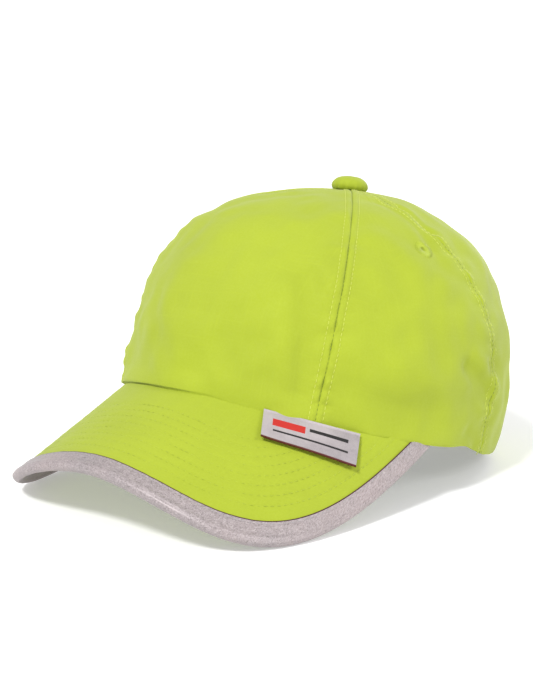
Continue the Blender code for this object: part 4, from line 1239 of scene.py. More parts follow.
    def button(self) -> None:
        """The cloth-covered button, gathered a little round its lower edge, and its rivet."""
        radius, height, waist = 8.6 * MM, 6.8 * MM, 2.0 * MM
        place = REST @ Matrix.Translation((0, CROWN.setback, CROWN.height + 0.35 * MM))
        sides = np.linspace(-0.95, math.pi / 2, 26)[:-1]
        lower = [
            (radius - 0.9 * MM * (math.sin(t) / math.sin(0.95)) ** 2, waist * (1 + 0.95 * math.sin(t) / math.sin(0.95)))
            for t in sides
            if t < 0
        ]
        upper = [(radius * math.cos(t) ** 0.82, waist + (height - waist) * math.sin(t)) for t in sides if t >= 0]
        base, crest = [(0, 0.15 * MM), (radius - 2.2 * MM, 0.1 * MM)], [(0.9 * MM, height - 0.004 * MM), (0, height)]
        profile = [*base, *lower, *upper, *crest]
        shape = turned(profile, 96)
        points = np.concatenate(shape.points)
        turn = np.arctan2(points[:, 1], points[:, 0])
        from_axis = np.hypot(points[:, 0], points[:, 1])
        low = smoothstep(-points[:, 2], -4.2 * MM, -0.4 * MM) * smoothstep(from_axis, 3 * MM, 7 * MM)
        gather = 1 + 0.022 * low * (np.sin(turn * 17 + 2 * np.sin(turn * 3)) + 0.6 * np.sin(turn * 31))
        points[:, :2] *= gather[:, None]
        swollen = (0.12 * MM * ripple(points, 4 * MM, 2.0))[:, None]
        points += swollen * unit(points - [0, 0, 1 * MM]) * (points[:, 2:] > 0.3 * MM)
        shape.points = [points]
        button = shape.build("top_button")
        button.data.transform(place)
        dress(button, CLOTH, "cap", "top_button")
        disc = [(0, -2.0 * MM), (1.0 * MM, -2.0 * MM), (1.5 * MM, -2.55 * MM), (2.4 * MM, -2.7 * MM)]
        disc += [(5.4 * MM, -2.6 * MM), (5.9 * MM, -2.35 * MM), (6.0 * MM, -2.0 * MM), (5.8 * MM, -1.7 * MM)]
        disc += [(1.5 * MM, -1.7 * MM), (1.5 * MM, 3 * MM), (0, 3 * MM)]
        rivet = turned(disc, 48).build("button_rivet", 35)
        rivet.data.transform(place)
        dress(rivet, STEEL, "cap", "button_rivet")

    def arch_binding(self) -> None:
        """A folded tape round the rear opening's edge, sewn near its inner edge."""
        x, z = self.arch_outline(math.radians(28), math.radians(152), 141)
        angle, climb = self.rear_place(x, z)
        lift = self.relief(angle, climb, False)
        normal = face_normal(CROWN.face, angle, climb)
        edge = CROWN.face(angle, climb) + normal * (lift - 0.4 * MM)[:, None]
        inward = unit(np.cross(normal, np.gradient(edge, axis=0)))
        reach, half = 5.0 * MM, 0.85 * MM
        outer, up = folded(edge, inward, normal, reach, half, 0.1 * MM, 25)
        inner = outer - up * 0.45 * MM
        piece = two_skins(outer, inner).build("rear_opening_binding")
        dress(piece, CLOTH, "cap", "rear_opening_binding")
        shape = Shape()
        for row in (3, 21):
            Stitching(2.8 * MM, 2.0 * MM).sew(shape, outer[:, row], up[:, row])
        dress(shape.build("rear_opening_threads"), COVER_THREAD, "cap")

    def topstitching(self) -> None:
        """Two rows of thread beside each outer seam, and the seam's own stitches in its groove, in a dark thread that
        also paints the groove's shade.
        """
        rows, groove_shaded_stitches = Shape(), Shape()
        fine = Stitching(2.3 * MM, 1.75 * MM, 0.2 * MM, 0.2 * MM)
        own = Stitching(2.0 * MM, 1.2 * MM, 0.13 * MM, 0.16 * MM)
        for seam, signs in ((front_seam, (1, -1)), (side_seam, (1, -1)), (rear_seam, (1,))):
            for sign in signs:
                angle0 = np.array([sign * seam(0.1)])
                low = hem_climb(angle0, 1.0) if seam is not rear_seam else np.array([0.56])
                top = CROWN.top_climb(np.array([seam(1.0)]), 9 * MM)
                _, climb = dome_grid(CROWN, seam, seam, 1, 160, low + 0.004, top)
                spread = CROWN.spread(seam(climb[0]), climb[0])
                for side in (-1, 1):
                    angle = sign * seam(climb[0]) + side * self.topstitch / spread
                    rows_path, normal = self.on_cloth(angle, climb[0])
                    fine.sew(rows, rows_path, normal)
                path, normal = self.on_cloth(sign * seam(climb[0]), climb[0])
                # the seam's stitches, coloured dark as painted shade in the groove
                own.sew(groove_shaded_stitches, path, normal)
        dress(rows.build("topstitching"), TOP_THREAD, "cap")
        dress(groove_shaded_stitches.build("seam_stitches_with_painted_shade"), GROOVE_SHADED_SEAM_THREAD, "cap")

    def build(self) -> None:
        """Builds the whole crown."""
        panels = {
            "front_panel": self.panel("front_panel", mirrored(front_seam), front_seam),
            "side_panel_left": self.panel("side_panel_left", front_seam, side_seam),
            "side_panel_right": self.panel("side_panel_right", mirrored(side_seam), mirrored(front_seam)),
            "rear_panel_left": self.panel("rear_panel_left", side_seam, rear_seam),
            "rear_panel_right": self.panel("rear_panel_right", mirrored(rear_seam), mirrored(side_seam)),
        }
        for side in Side:
            cut_away(panels[f"rear_panel_{side.word}"], self.arch_cutter())
            for panel, angle in self.eyelet_angles:
                self.eyelet(panels[f"{panel}_panel_{side.word}"], f"{panel}_eyelet_{side.word}", side.value * angle)
            self.tape(f"front_seam_tape_{side.word}", front_seam, side.value, 9.6 * MM)
            self.tape(f"side_seam_tape_{side.word}", side_seam, side.value, 9.6 * MM)
        self.tape("rear_seam_tape", rear_seam, 1, 67 * MM)
        for name, piece in panels.items():
            dress(piece, CLOTH, "cap", name)
        self.topstitching()
        self.button()
        self.arch_binding()


def folded(
    edge: Array, inward: Array, up: Array, reach: Array, half: float, droop: float, count: int
) -> tuple[Array, Array]:
    """A tape folded over an edge: its outer skin and that skin's normals.

    Args:
        edge: points along the edge's middle, shaped (stations, 3).
        inward: away from the edge into the cloth, at each station.
        up: the cloth's outward normal at each station.
        reach: the tape's width on each side of the fold, one value or one for each station.
        half: half the folded tape's thickness.
        droop: how far the legs press in at their free edges.
        count: points across the tape.

    Returns:
        Two arrays shaped (stations, count, 3).
    """
    nose = 9
    leg = (count - nose) // 2
    shares = np.linspace(1, 0, leg, endpoint=False)
    turn = np.linspace(math.pi / 2, 3 * math.pi / 2, count - 2 * leg)
    reach = np.broadcast_to(reach, len(edge))[:, None]
    press = droop * smoothstep(shares, 0.75, 1.0)
    nose_in = np.broadcast_to(half * 0.75 * np.cos(turn), (len(edge), len(turn)))
    into = np.concatenate([reach * shares, nose_in, reach * shares[::-1]], axis=1)
    above = np.concatenate([half - press, half * np.sin(turn), (press - half)[::-1]])
    tilt = np.concatenate([0 * shares, np.cos(turn), 0 * shares])
    lean = np.concatenate([0 * shares + 1, np.sin(turn), 0 * shares - 1])
    outer = edge[:, None] + inward[:, None] * into[..., None] + up[:, None] * above[None, :, None]
    normal = inward[:, None] * tilt[None, :, None] + up[:, None] * lean[None, :, None]
    return outer, unit(normal)


# ---------------------------------------------------------------- brim and label


@dataclass
class Brim:
    """Two cloth covers over a stiff board, rows of stitching, and the reflective binding."""

    margin: float = 1.6 * MM
    columns: int = 241
    rows: int = 59
    stitch_rows: int = 8
    row_spacing: float = 4.0 * MM
    first_row: float = 14.5 * MM  # from the brim's outer edge
    binding_width: float = 8.9 * MM
    binding_row: float = 7.6 * MM
    tuck_in: float = math.radians(62)  # where the covers leave the crown's wall and pass under its hem

    def flat_grid(self, height: float) -> tuple[Array, Array]:
        """A cover's places in the flat pattern, with each place's distance from the outer edge."""
        inner, outer = brim_curves(self.columns, self.tuck_in, height)
        width = np.linalg.norm(outer - inner, axis=1, keepdims=True)
        share = np.linspace(0, 1, self.rows)[None, :, None] * (1 - self.margin / width)[:, None]
        flat = mix(inner[:, None], outer[:, None], share)
        edge = BRIM.outer_edge(np.linspace(-math.pi / 2, math.pi / 2, 1441))
        away = np.empty(flat.shape[:2])
        for c in range(len(flat)):
            away[c] = np.sqrt(((flat[c][:, None] - edge[None]) ** 2).sum(axis=-1).min(axis=1))
        return flat, away

    def quilting(self, flat: Array, away: Array) -> Array:
        """How far a cover stands off its plane: grooves at the stitch rows, and soft puckers between."""
        lift = np.zeros(away.shape)
        for row in range(self.stitch_rows):
            lift -= 0.16 * MM * bell(away - self.first_row - row * self.row_spacing, 0.6 * MM)
        places = np.concatenate([flat, 0 * flat[..., :1]], axis=-1)
        area = smoothstep(away, self.binding_width - 1 * MM, self.binding_width + 3 * MM)
        return lift + area * (0.10 * MM * ripple(places, 3.2 * MM, 4.0) + 0.16 * MM * ripple(places, 16 * MM, 8.0))

    def cover(self, name: str, side: int) -> None:
        """One cover, side being 1 on top and -1 underneath, with its stitches."""
        half = 0.7 * MM + 0.3 * MM
        flat, away = self.flat_grid(side * (half + 0.5 * MM))
        lift = self.quilting(flat, away)
        skin = offset(BRIM.face, flat[..., 0], flat[..., 1], side * (half + 0.5 * MM + lift))
        under = offset(BRIM.face, flat[..., 0], flat[..., 1], side * (half + lift))
        shape = two_skins(skin, under) if side > 0 else two_skins(skin[::-1], under[::-1])
        piece = shape.build(name)
        dress(piece, CLOTH, "cap", name)
        threads = Shape()
        sewing = Stitching(2.9 * MM, 2.1 * MM, 0.14 * MM, 0.2 * MM)
        for row in range(self.stitch_rows):
            self.sew_row(threads, sewing, flat, away, self.first_row + row * self.row_spacing, side * half)
        dress(threads.build(name + "_threads"), COVER_THREAD, "cap")

    def sew_row(
        self, threads: Shape, sewing: Stitching, flat: Array, away: Array, distance: float, height: float
    ) -> None:
        """Sews one row at a distance from the outer edge, on the side that the height's sign says."""
        side = math.copysign(1, height)
        path = []
        for column, gone in zip(flat, away):
            if gone[0] > distance + 1.5 * MM:
                path.append([np.interp(-distance, -gone, column[:, k]) for k in (0, 1)])
        if len(path) < 5:
            return
        path = by_step(np.array(path), 1.5 * MM)
        heights = np.full(len(path), side * (abs(height) + 0.5 * MM - 0.12 * MM))
        points = offset(BRIM.face, path[:, 0], path[:, 1], heights)
        sewing.sew(threads, points, side * face_normal(BRIM.face, path[:, 0], path[:, 1]))

    def binding(self) -> None:
        """The reflective tape folded over the outer edge, with a rolled fold, puckers and pale stitches."""
        stations, across = 421, 57
        outer = by_length(BRIM.outer_edge(np.linspace(-math.pi / 2, math.pi / 2, 1441)), stations)
        along = unit(np.gradient(outer, axis=0))
        into = np.stack([-np.abs(along[:, 1]), along[:, 0] * np.sign(along[:, 1])], axis=1)
        nose = 1.4 * MM
        reach = np.full(stations, self.binding_width - nose)
        start = outer + into * nose
        edge = BRIM.face(start[:, 0], start[:, 1])
        up = face_normal(BRIM.face, start[:, 0], start[:, 1])
        tucked = 1 - 0.8 * smoothstep(-outer[:, :1], -12 * MM, -3 * MM)
        half = BRIM.thickness / 2 + 0.65 * MM * tucked
        shares = np.linspace(1, 0, (across - 9) // 2, endpoint=False)
        top = start[:, None] + into[:, None] * (reach[:, None] * shares)[..., None]
        wave = ripple(np.concatenate([top * [1, 1], 0 * top[..., :1]], axis=-1), 3.4 * MM, 21.0)
        broad = ripple(np.concatenate([top, 0 * top[..., :1]], axis=-1), 15 * MM, 31.0)
        stitch_dent = bell(shares * self.binding_width - self.binding_row, 0.8 * MM)
        relief = 0.13 * MM * wave * smoothstep(shares, 0.1, 0.4) + 0.12 * MM * broad - 0.22 * MM * stitch_dent
        relief = relief - 0.35 * MM * smoothstep(shares, 0.9, 1.0) + 0.30 * MM * bell(shares - 0.16, 0.12)
        relief = relief * tucked
        sides = []
        for sign in (1, -1):
            height = sign * (half + relief)
            sides.append(offset(BRIM.face, top[..., 0], top[..., 1], height))
        turn = np.linspace(math.pi / 2, 3 * math.pi / 2, across - 2 * len(shares))
        roll = 1 + 0.06 * ripple(np.stack([start[:, 0], start[:, 1], 0 * start[:, 0]], axis=1), 9 * MM, 41.0)
        bulge = (half + 0.12 * MM) * roll[:, None]
        forward3 = unit(edge - BRIM.face(*(start + into * 1 * MM).T))
        nose_points = edge[:, None] - forward3[:, None] * (nose * np.cos(turn))[None, :, None]
        nose_points = nose_points + up[:, None] * (bulge * np.sin(turn))[..., None]
        skin = np.concatenate([sides[0], nose_points, sides[1][:, ::-1]], axis=1)
        skin[..., 2] = np.maximum(skin[..., 2], 0.05 * MM)
        along = np.gradient(skin, axis=0)
        over = np.gradient(skin, axis=1)
        normal = unit(np.cross(over, along))
        piece = two_skins(skin, skin - normal * 0.45 * MM).build("brim_binding")
        dress(piece, TAPE, "cap", "brim_binding")
        threads = Shape()
        sewing = Stitching(3.1 * MM, 2.0 * MM, 0.15 * MM, 0.2 * MM)
        row = int(np.argmin(np.abs(shares * self.binding_width - self.binding_row)))
        for column in (row, across - 1 - row):
            sewing.sew(threads, skin[6:-6, column], normal[6:-6, column])
        dress(threads.build("binding_threads"), PALE_THREAD, "cap")

    def build(self) -> None:
        """Builds the whole brim and finishes its board."""
        self.cover("brim_top_cover", 1)
        self.cover("brim_under_cover", -1)
        self.binding()
        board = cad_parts["brim_board"]
        board.data.materials.clear()
        board.data.materials.append(BOARD.material())


@dataclass
class SideLabel:
    """The reflective label sewn into the brim's seam, standing a little further off the brim towards its free edge."""

    middle: float = math.radians(41.3)
    length: float = 46.0 * MM
    height: float = 13.4 * MM
    thickness: float = 0.5 * MM
    clearance: float = 0.9 * MM
    lift: float = 1.0 * MM
    offset: float = 0.7 * MM
    straighten: float = 0.35

    def build(self) -> None:
        """Builds the label over the brim's bend, its sewn edge along the crown's hem."""
        columns, rows = 89, 31
        wall = wall_curve(np.linspace(self.middle - 0.5, self.middle + 0.5, 401), BRIM.thickness / 2, self.offset)
        steps = np.cumsum(np.pad(np.linalg.norm(np.diff(wall, axis=0), axis=1), (1, 0)))
        across = np.linspace(-self.length / 2, self.length / 2, columns)[:, None]
        root = np.stack([np.interp(across[:, 0] + steps[200], steps, wall[:, k]) for k in (0, 1)], axis=1)
        along = unit(root[-1] - root[0])
        down = np.array([abs(along[1]), -along[0] * np.sign(along[1])])
        away = np.linspace(0, self.height, rows)[None, :]
        sagging = (root - root[0]) @ down
        straight = 1 - self.straighten * smoothstep(away, 0, 8 * MM)
        flat = root[:, None] + (away + (straight - 1) * (sagging[:, None] - sagging.mean()))[..., None] * down
        share = away / self.height
        under = BRIM.thickness / 2 + self.clearance + self.lift * share + 0 * across
        edge = np.minimum(np.minimum(away, self.height - away), 3 * MM)
        roll = 0.22 * MM * bell(edge, 0.55 * MM) - 0.1 * MM * bell(edge - 0.9 * MM, 0.25 * MM)
        wave = 0.18 * MM * np.sin(across / (9 * MM)) * share + 0.5 * MM * share * np.abs(across / self.length * 2) ** 5
        lifted = [under + self.thickness * part + wave + roll * part for part in (1.0, 0.0)]
        top, bottom = (offset(BRIM.face, flat[..., 0], flat[..., 1], height) for height in lifted)
        cloth = np.stack(np.broadcast_arrays(across, self.height - away), axis=-1)
        piece = two_skins(top[::-1], bottom[::-1], cloth=cloth[::-1]).build("reflective_label")
        hinge = offset(BRIM.face, *flat[columns // 2, [0, 9]].T, np.full(2, BRIM.thickness / 2))
        piece.data.materials.append(LABEL.material())
        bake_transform(piece)
        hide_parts("reflective_label")
        LOG.info("%s: %d faces, bends from cap to label", piece.name, len(piece.data.polygons))


# ---------------------------------------------------------------- soft padding


SWELL_FRAMES = 16


def swell(piece: bpy.types.Object, held: Array, pressure: float, limit: float) -> None:
    """Puffs up a closed padded piece with a short cloth simulation, and keeps the result.

    Args:
        piece: the piece, a closed mesh.
        held: for each point, whether sewing holds it still.
        pressure: the simulation's pressure.
        limit: the furthest that any point may move, in metres.
    """
    rest = np.array([v.co for v in piece.data.vertices])
    group = piece.vertex_groups.new(name="Sewn")
    group.add([int(k) for k in np.flatnonzero(held)], 1.0, "REPLACE")
    modifier = piece.modifiers.new("Swell", "CLOTH")
    settings = modifier.settings
    settings.quality, settings.mass = 6, 0.05
    settings.vertex_group_mass = "Sewn"
    settings.use_pressure, settings.uniform_pressure_force = True, pressure
    settings.effector_weights.gravity = 0
    modifier.point_cache.frame_start, modifier.point_cache.frame_end = 1, SWELL_FRAMES
    for number in range(1, SWELL_FRAMES + 1):
        bpy.context.scene.frame_set(number)
    evaluated = piece.evaluated_get(bpy.context.evaluated_depsgraph_get())
    moved = np.array([v.co for v in evaluated.data.vertices]) - rest
    length = np.linalg.norm(moved, axis=1, keepdims=True)
    moved = moved / np.maximum(length, 1e-9) * limit * np.tanh(length / limit)
    piece.modifiers.clear()
    piece.vertex_groups.clear()
    piece.data.vertices.foreach_set("co", (rest + moved).astype(np.float32).ravel())
    piece.data.update()
    bpy.context.scene.frame_set(1)


def rounded_pad(outer: Array, inner: Array, edge: float) -> tuple[Shape, Array]:
    """A pad between two grids, its edges rounded over and its points at the rim marked as held.

    Args:
        outer: the skin that rests on its backing, shaped (columns, rows, 3).
        inner: the free skin.
        edge: how far in from the rim the pad reaches its full thickness.

    Returns:
        The shape, and for each point whether it lies on the rim.
    """
    middle = (outer + inner) / 2
    length = cloth_lengths(outer)
    span_up = length[:, -1:, 1]
    away = np.minimum(length[..., 1], span_up - length[..., 1])
    from_left = length[..., 0] - length[:1, :, 0]
    away = np.minimum(away, np.minimum(from_left, from_left[-1:] - from_left))
    share = np.clip(away / edge, 0, 1)
    full = np.sqrt(1 - (1 - share) ** 2)[..., None] * 0.85 + 0.15
    shape = two_skins(mix(middle, outer, full), mix(middle, inner, full))
    rim = (share < 1e-6).ravel()
    return shape, np.concatenate([rim, rim])


@dataclass
class Sweatband:
    """The padded inner headband, sewn at its lower edge and quilted, with its care label."""

    height: float = 32.0 * MM
    end: float = math.radians(152.7)
    depth: tuple[float, float] = (2.8 * MM, 4.4 * MM)

    def build(self) -> None:
        """Builds the band, its rows of thread and the label."""
        columns, rows = 321, 27
        share = np.linspace(-1, 1, columns)
        low = hem_climb(share * self.end) + 1.2 * MM / CROWN.height
        angle, climb = dome_grid(
            CROWN, lambda c: -self.end + 0 * c, lambda c: self.end + 0 * c, columns, rows, low, low + 0.273
        )
        normal = face_normal(CROWN.face, angle, climb)
        face = CROWN.face(angle, climb)
        outer, inner = (face - normal * depth for depth in self.depth)
        shape, rim = rounded_pad(outer, inner, 1.6 * MM)
        band = shape.build("sweatband")
        quilted = np.zeros((columns, rows), bool)
        quilted[:, 4] = quilted[:, rows - 5] = True
        swell(band, rim | np.concatenate([quilted.ravel()] * 2), 2.5, 0.7 * MM)
        dress(band, COTTON, "cap", "sweatband")
        threads = Shape()
        sewing = Stitching(3.2 * MM, 2.3 * MM, 0.18 * MM, 0.25 * MM)
        for row in (4, rows - 5):
            sewing.sew(threads, inner[:, row] - normal[:, row] * 0.05 * MM, -normal[:, row])
        dress(threads.build("sweatband_threads"), COVER_THREAD, "cap")
        self.care_label()

    def care_label(self) -> None:
        """A plain folded label, sewn along its upper edge."""
        left, right = math.radians(122), math.radians(140)
        low = hem_climb(np.linspace(left, right, 41)) + 6 * MM / CROWN.height
        angle, climb = dome_grid(CROWN, lambda c: left + 0 * c, lambda c: right + 0 * c, 41, 29, low, low + 0.156)
        normal = face_normal(CROWN.face, angle, climb)
        face = CROWN.face(angle, climb)
        wave = 0.12 * MM * ripple(face, 9 * MM, 6.0)
        outer, inner = (face - normal * (depth + wave)[..., None] for depth in (5.15 * MM, 5.45 * MM))
        piece = two_skins(outer, inner).build("care_label")
        dress(piece, CARE, "cap", "care_label")


# ---------------------------------------------------------------- rear strap


@dataclass
class RearStrap:
    """A loop strap sewn on the left, and over it the hook strap, which runs through its tunnel."""

    low: float = 2.0 * MM
    high: float = 24.0 * MM
    tunnel_end: float = math.radians(34)
    hinge: float = math.radians(12)
    tip: float = math.radians(12)
    tape_end: float = math.radians(18)
    hook_end: float = math.radians(10)
    over: tuple[float, float] = (1.2 * MM, 2.0 * MM)
    under: tuple[float, float] = (4.1 * MM, 4.9 * MM)

    def grid(
        self, start: float, end: float, columns: int, rows: int, margin: float = 0.0, tip: float = 0.0
    ) -> tuple[Array, Array]:
        """Angles and climbs of a strap between two angles from the rear, rounded at its far end by tip."""
        behind = np.linspace(start, end, columns)[:, None]
        left = (end - behind) * 0.09
        round_off = np.clip(1 - left / max(tip, 1e-6), 0, 1) if tip else 0 * left
        half = (self.high - self.low) / 2 - margin
        half = half - tip * (1 - np.sqrt(np.clip(1 - round_off**2, 0, 1)))
        height = (self.high + self.low) / 2 + half * np.linspace(-1, 1, rows)[None, :]
        return np.broadcast_arrays(math.pi - behind, height / CROWN.height)

    def skin(self, angle: Array, climb: Array, depth: Array) -> tuple[Array, Array]:
        """Points at a depth below the crown's face, and its normals there."""
        normal = face_normal(CROWN.face, angle, climb)
        depth = np.broadcast_to(depth, angle.shape)[..., None]
        return CROWN.face(angle, climb) - normal * depth, normal

    def strap(
        self, name: str, angle: Array, climb: Array, near: Array, deep: Array
    ) -> tuple[bpy.types.Object, Array, Array]:
        """Builds one strap with slightly rounded edges, and returns it with its outer skin and normals."""
        outer, normal = self.skin(angle, climb, near)
        inner, _ = self.skin(angle, climb, deep)
        rows = angle.shape[1]
        edge = (np.abs(np.linspace(-1, 1, rows)) ** 14 * 0.28)[None, :, None]
        wave = (0.10 * MM * ripple(outer, 9 * MM, 12.0))[..., None] * normal
        piece = two_skins(mix(outer, inner, edge) + wave, mix(inner, outer, edge) + wave).build(name)
        return piece, outer + wave, normal

    def nap(self, shape: Shape, angle: Array, climb: Array, depth: float, sign: float, hooked: bool) -> None:
        """Plants rows of hooks or loops on a tape.

        Args:
            shape: what they are added to.
            angle: angles of their roots.
            climb: climbs of their roots.
            depth: the tape face's depth below the crown's face.
            sign: 1 if the face looks outwards, -1 if inwards.
            hooked: True for hooks, False for loops.
        """
        root, normal = self.skin(angle.ravel(), climb.ravel(), depth)
        normal = sign * normal
        lean = unit(np.cross(normal, [0.0, 0.0, 1.0]))
        turn = 1.7 * ripple(root, 2 * MM, 33.0)[:, None]
        lean = lean * np.cos(turn) + np.cross(normal, lean) * np.sin(turn) if not hooked else lean
        rise = np.array([-0.05, 0.35, 0.62, 0.60, 0.38] if hooked else [-0.05, 0.4, 0.55, 0.4, -0.05]) * MM
        push = np.array([0.0, 0.0, 0.12, 0.36, 0.45] if hooked else [0.0, -0.1, 0.3, 0.7, 0.6]) * MM
        path = root[:, None] + normal[:, None] * rise[None, :, None] + lean[:, None] * push[None, :, None]
        side = np.cross(normal, lean)[:, None] + 0 * path
        add_tubes(shape, path, side, np.full(5, 0.09 * MM if hooked else 0.06 * MM), 4)

    def build(self) -> None:
        """Builds both straps, their tapes and their stitches."""
        angle, climb = self.grid(-self.tape_end, self.tunnel_end, 141, 25)
        drop = 1 - smoothstep(math.pi - angle, math.radians(20.5), math.radians(26))
        near, deep = (mix(a, b, drop) for a, b in zip(self.over, self.under))
        loop, outer, normal = self.strap("loop_strap", angle, climb, near, deep)
        dress(loop, STRAPPING, "cap", "loop_strap")
        threads = Shape()
        sewing = Stitching(3.0 * MM, 2.1 * MM)
        for row in (4, 20):
            sewing.sew(threads, outer[:96, row], normal[:96, row])
        dress(threads.build("loop_strap_threads"), COVER_THREAD, "cap")

        angle, climb = self.grid(-self.tape_end + 0.03, self.tape_end, 61, 33, 2 * MM)
        tape, _, _ = self.strap("loop_tape", angle, climb, 3.55 * MM, 3.8 * MM)
        dress(tape, HOOKS, "cap", "loop_tape")
        shape = Shape()
        turns = np.linspace(-self.tape_end + 0.045, self.tape_end - 0.015, 62)
        behind, high = np.meshgrid(turns, np.linspace(4.8, 21.2, 22) * MM)
        self.nap(shape, math.pi - behind, high / CROWN.height, 3.55 * MM, 1.0, False)
        dress(shape.build("loop_tape_pile"), HOOKS, "cap")

        angle, climb = self.grid(-self.tunnel_end, self.tip, 129, 25, tip=5 * MM)
        tunnel = 0.3 * MM * smoothstep(angle - math.pi, self.hinge, math.radians(26))
        strap, outer, normal = self.strap("hook_strap", angle, climb, self.over[0] + tunnel, self.over[1] + tunnel)
        strap.data.materials.append(STRAPPING.material())
        start, end = (
            Vector(CROWN.face(np.array(math.pi + self.hinge + turn), np.array(0.11))) for turn in (0.035, -0.035)
        )
        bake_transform(strap)
        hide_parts("hook_strap_root", "hook_strap_flap")
        LOG.info("%s: %d faces, bends from hook_strap to strap_end", strap.name, len(strap.data.polygons))
        threads = Shape()
        fine = Stitching(2.7 * MM, 1.9 * MM, 0.16 * MM)
        first = int(128 * (self.tunnel_end - self.hook_end + 0.02) / (self.tunnel_end + self.tip))
        for row in (2, 22):
            fine.sew(threads, outer[first:118, row], normal[first:118, row])
        for column in (first, 117):
            fine.sew(threads, outer[column, 2:23], normal[column, 2:23])
        dress(threads.build("hook_strap_threads"), COVER_THREAD, "strap_end")

        angle, climb = self.grid(-self.hook_end, self.hook_end, 41, 33, 2 * MM)
        tape, _, _ = self.strap("hook_tape", angle, climb, 2.3 * MM, 2.5 * MM)
        dress(tape, HOOKS, "strap_end", "hook_tape")
        shape = Shape()
        turns = np.linspace(-self.hook_end + 0.02, self.hook_end - 0.02, 26)
        behind, high = np.meshgrid(turns, np.linspace(4.8, 21.2, 15) * MM)
        self.nap(shape, math.pi - behind, high / CROWN.height, 2.5 * MM, -1.0, True)
        dress(shape.build("hook_tape_hooks"), HOOKS, "strap_end")


# ---------------------------------------------------------------- impact liner


@dataclass
class Liner:
    """The impact shell with its vents, and the five foam pads inside it."""

    wall: float = 2.0 * MM
    foam: tuple[float, float] = (2.6 * MM, 6.6 * MM)
    edge_front: float = 40.0 * MM
    edge_rear: float = 60.0 * MM
    vent: tuple[float, float] = (20.0 * MM, 5.0 * MM)
    vent_turns: tuple[float, ...] = (55.0, 78.0, 101.0, 124.0)
    vent_climb: float = 0.72

    def dome(self, columns: int, rows: int, low: Array, near: Array, deep: Array) -> tuple[Array, Array]:
        """Outer and inner skins of a closed ring up to the shell's top, at two depths."""
        angle = np.linspace(-math.pi, math.pi, columns, endpoint=False)[:, None]
        climb = mix(low, 0.99999, 1 - (1 - np.linspace(0, 1, rows)) ** 2.4)
        angle, climb = np.broadcast_arrays(angle, climb)
        normal = face_normal(SHELL.face, angle, climb)
        face = SHELL.face(angle, climb)
        outer, inner = (face - normal * np.broadcast_to(depth, angle.shape)[..., None] for depth in (near, deep))
        return outer, inner

    def shell(self) -> None:
        """The shell, with a rolled lower edge, two raised ribs and eight vents."""
        columns, rows = 240, 90
        turn = np.linspace(-math.pi, math.pi, columns, endpoint=False)[:, None]
        edge = mix(self.edge_front, self.edge_rear, smoothstep(np.abs(turn), math.radians(105), math.radians(150)))
        low = edge / SHELL.height
        share = np.linspace(0, 1, rows)[None, :]
        bead = 0.35 * MM * bell(share - 0.02, 0.02)
        ribs = 0.45 * MM * sum(bell(np.abs(turn) * 57.3 - degrees, 2.2) for degrees in (32, 147))
        ribs = ribs * smoothstep(share, 0.1, 0.2) * smoothstep(-share, -0.75, -0.6)
        outer, inner = self.dome(columns, rows, low, -(bead + ribs), self.wall - 0 * share)
        shell = capped(outer, inner).build("impact_shell", 35)
        cutters = Shape()
        half, radius = self.vent[0] / 2 - self.vent[1] / 2, self.vent[1] / 2
        round_end = np.linspace(0, math.pi, 13)
        outline = np.concatenate([
            np.stack([radius * np.cos(first + round_end), end + radius * np.sin(first + round_end)], axis=1)
            for end, first in ((half, 0.0), (-half, math.pi))
        ])
        for side in Side:
            for degrees in self.vent_turns:
                place = surface_place(SHELL, side.value * math.radians(degrees), self.vent_climb)
                points = [place @ Vector((x, y, z)) for z in (-8 * MM, 8 * MM) for x, y in outline]
                cutters.add(np.array(points), prism_faces(len(outline)))
        cut_away(shell, cutters.build("vent_cutters"))
        dress(shell, HARD_SHELL, "liner", "impact_shell")

    def pad(self, name: str, middle: float, half_span: float, low: float, high: float) -> None:
        """One pad, as a middle angle, half its span and a height range, with rounded corners."""
        columns, rows = max(int(half_span * 150 * MM / (2.2 * MM)), 14), int((high - low) / (1.8 * MM))
        side = np.linspace(-1, 1, columns)
        low, high = low / SHELL.height, high / SHELL.height
        bow = (high - low) * 0.18 * np.abs(side) ** 4
        climb = np.linspace(low + bow, high - bow, rows, axis=1)
        angle = np.broadcast_to((middle + side * half_span)[:, None], climb.shape)
        normal = face_normal(SHELL.face, angle, climb)
        face = SHELL.face(angle, climb)
        outer, inner = (face - normal * depth for depth in self.foam)
        shape, rim = rounded_pad(outer, inner, 3.0 * MM)
        piece = shape.build(name)
        count = len(rim) // 2
        backing = np.arange(len(rim)) < count
        swell(piece, rim | backing, 2.0, 0.8 * MM)
        dress(piece, FOAM, "liner", name)

    def build(self) -> None:
        """Builds the shell and its pads."""
        self.shell()
        self.pad("front_foam_pad", 0.0, math.radians(36), 43 * MM, 84 * MM)
        self.pad("rear_foam_pad", math.pi, math.radians(24), 64 * MM, 88 * MM)
        for side in Side:
            self.pad(f"side_foam_pad_{side.word}", side.value * math.radians(90), math.radians(9), 43 * MM, 74 * MM)
        columns, rows = 96, 26
        share = np.linspace(0, 1, rows)[None, :]
        depths = (depth + 0 * share for depth in self.foam)
        outer, inner = self.dome(columns, rows, np.full((columns, 1), 0.965), *depths)
        middle = (outer + inner) / 2
        full = (0.15 + 0.85 * np.sqrt(1 - (1 - np.clip(share / 0.12, 0, 1)) ** 2))[..., None]
        pad = capped(mix(middle, outer, full), mix(middle, inner, full)).build("crown_foam_pad")
        dress(pad, FOAM, "liner", "crown_foam_pad")


# ---------------------------------------------------------------- studio


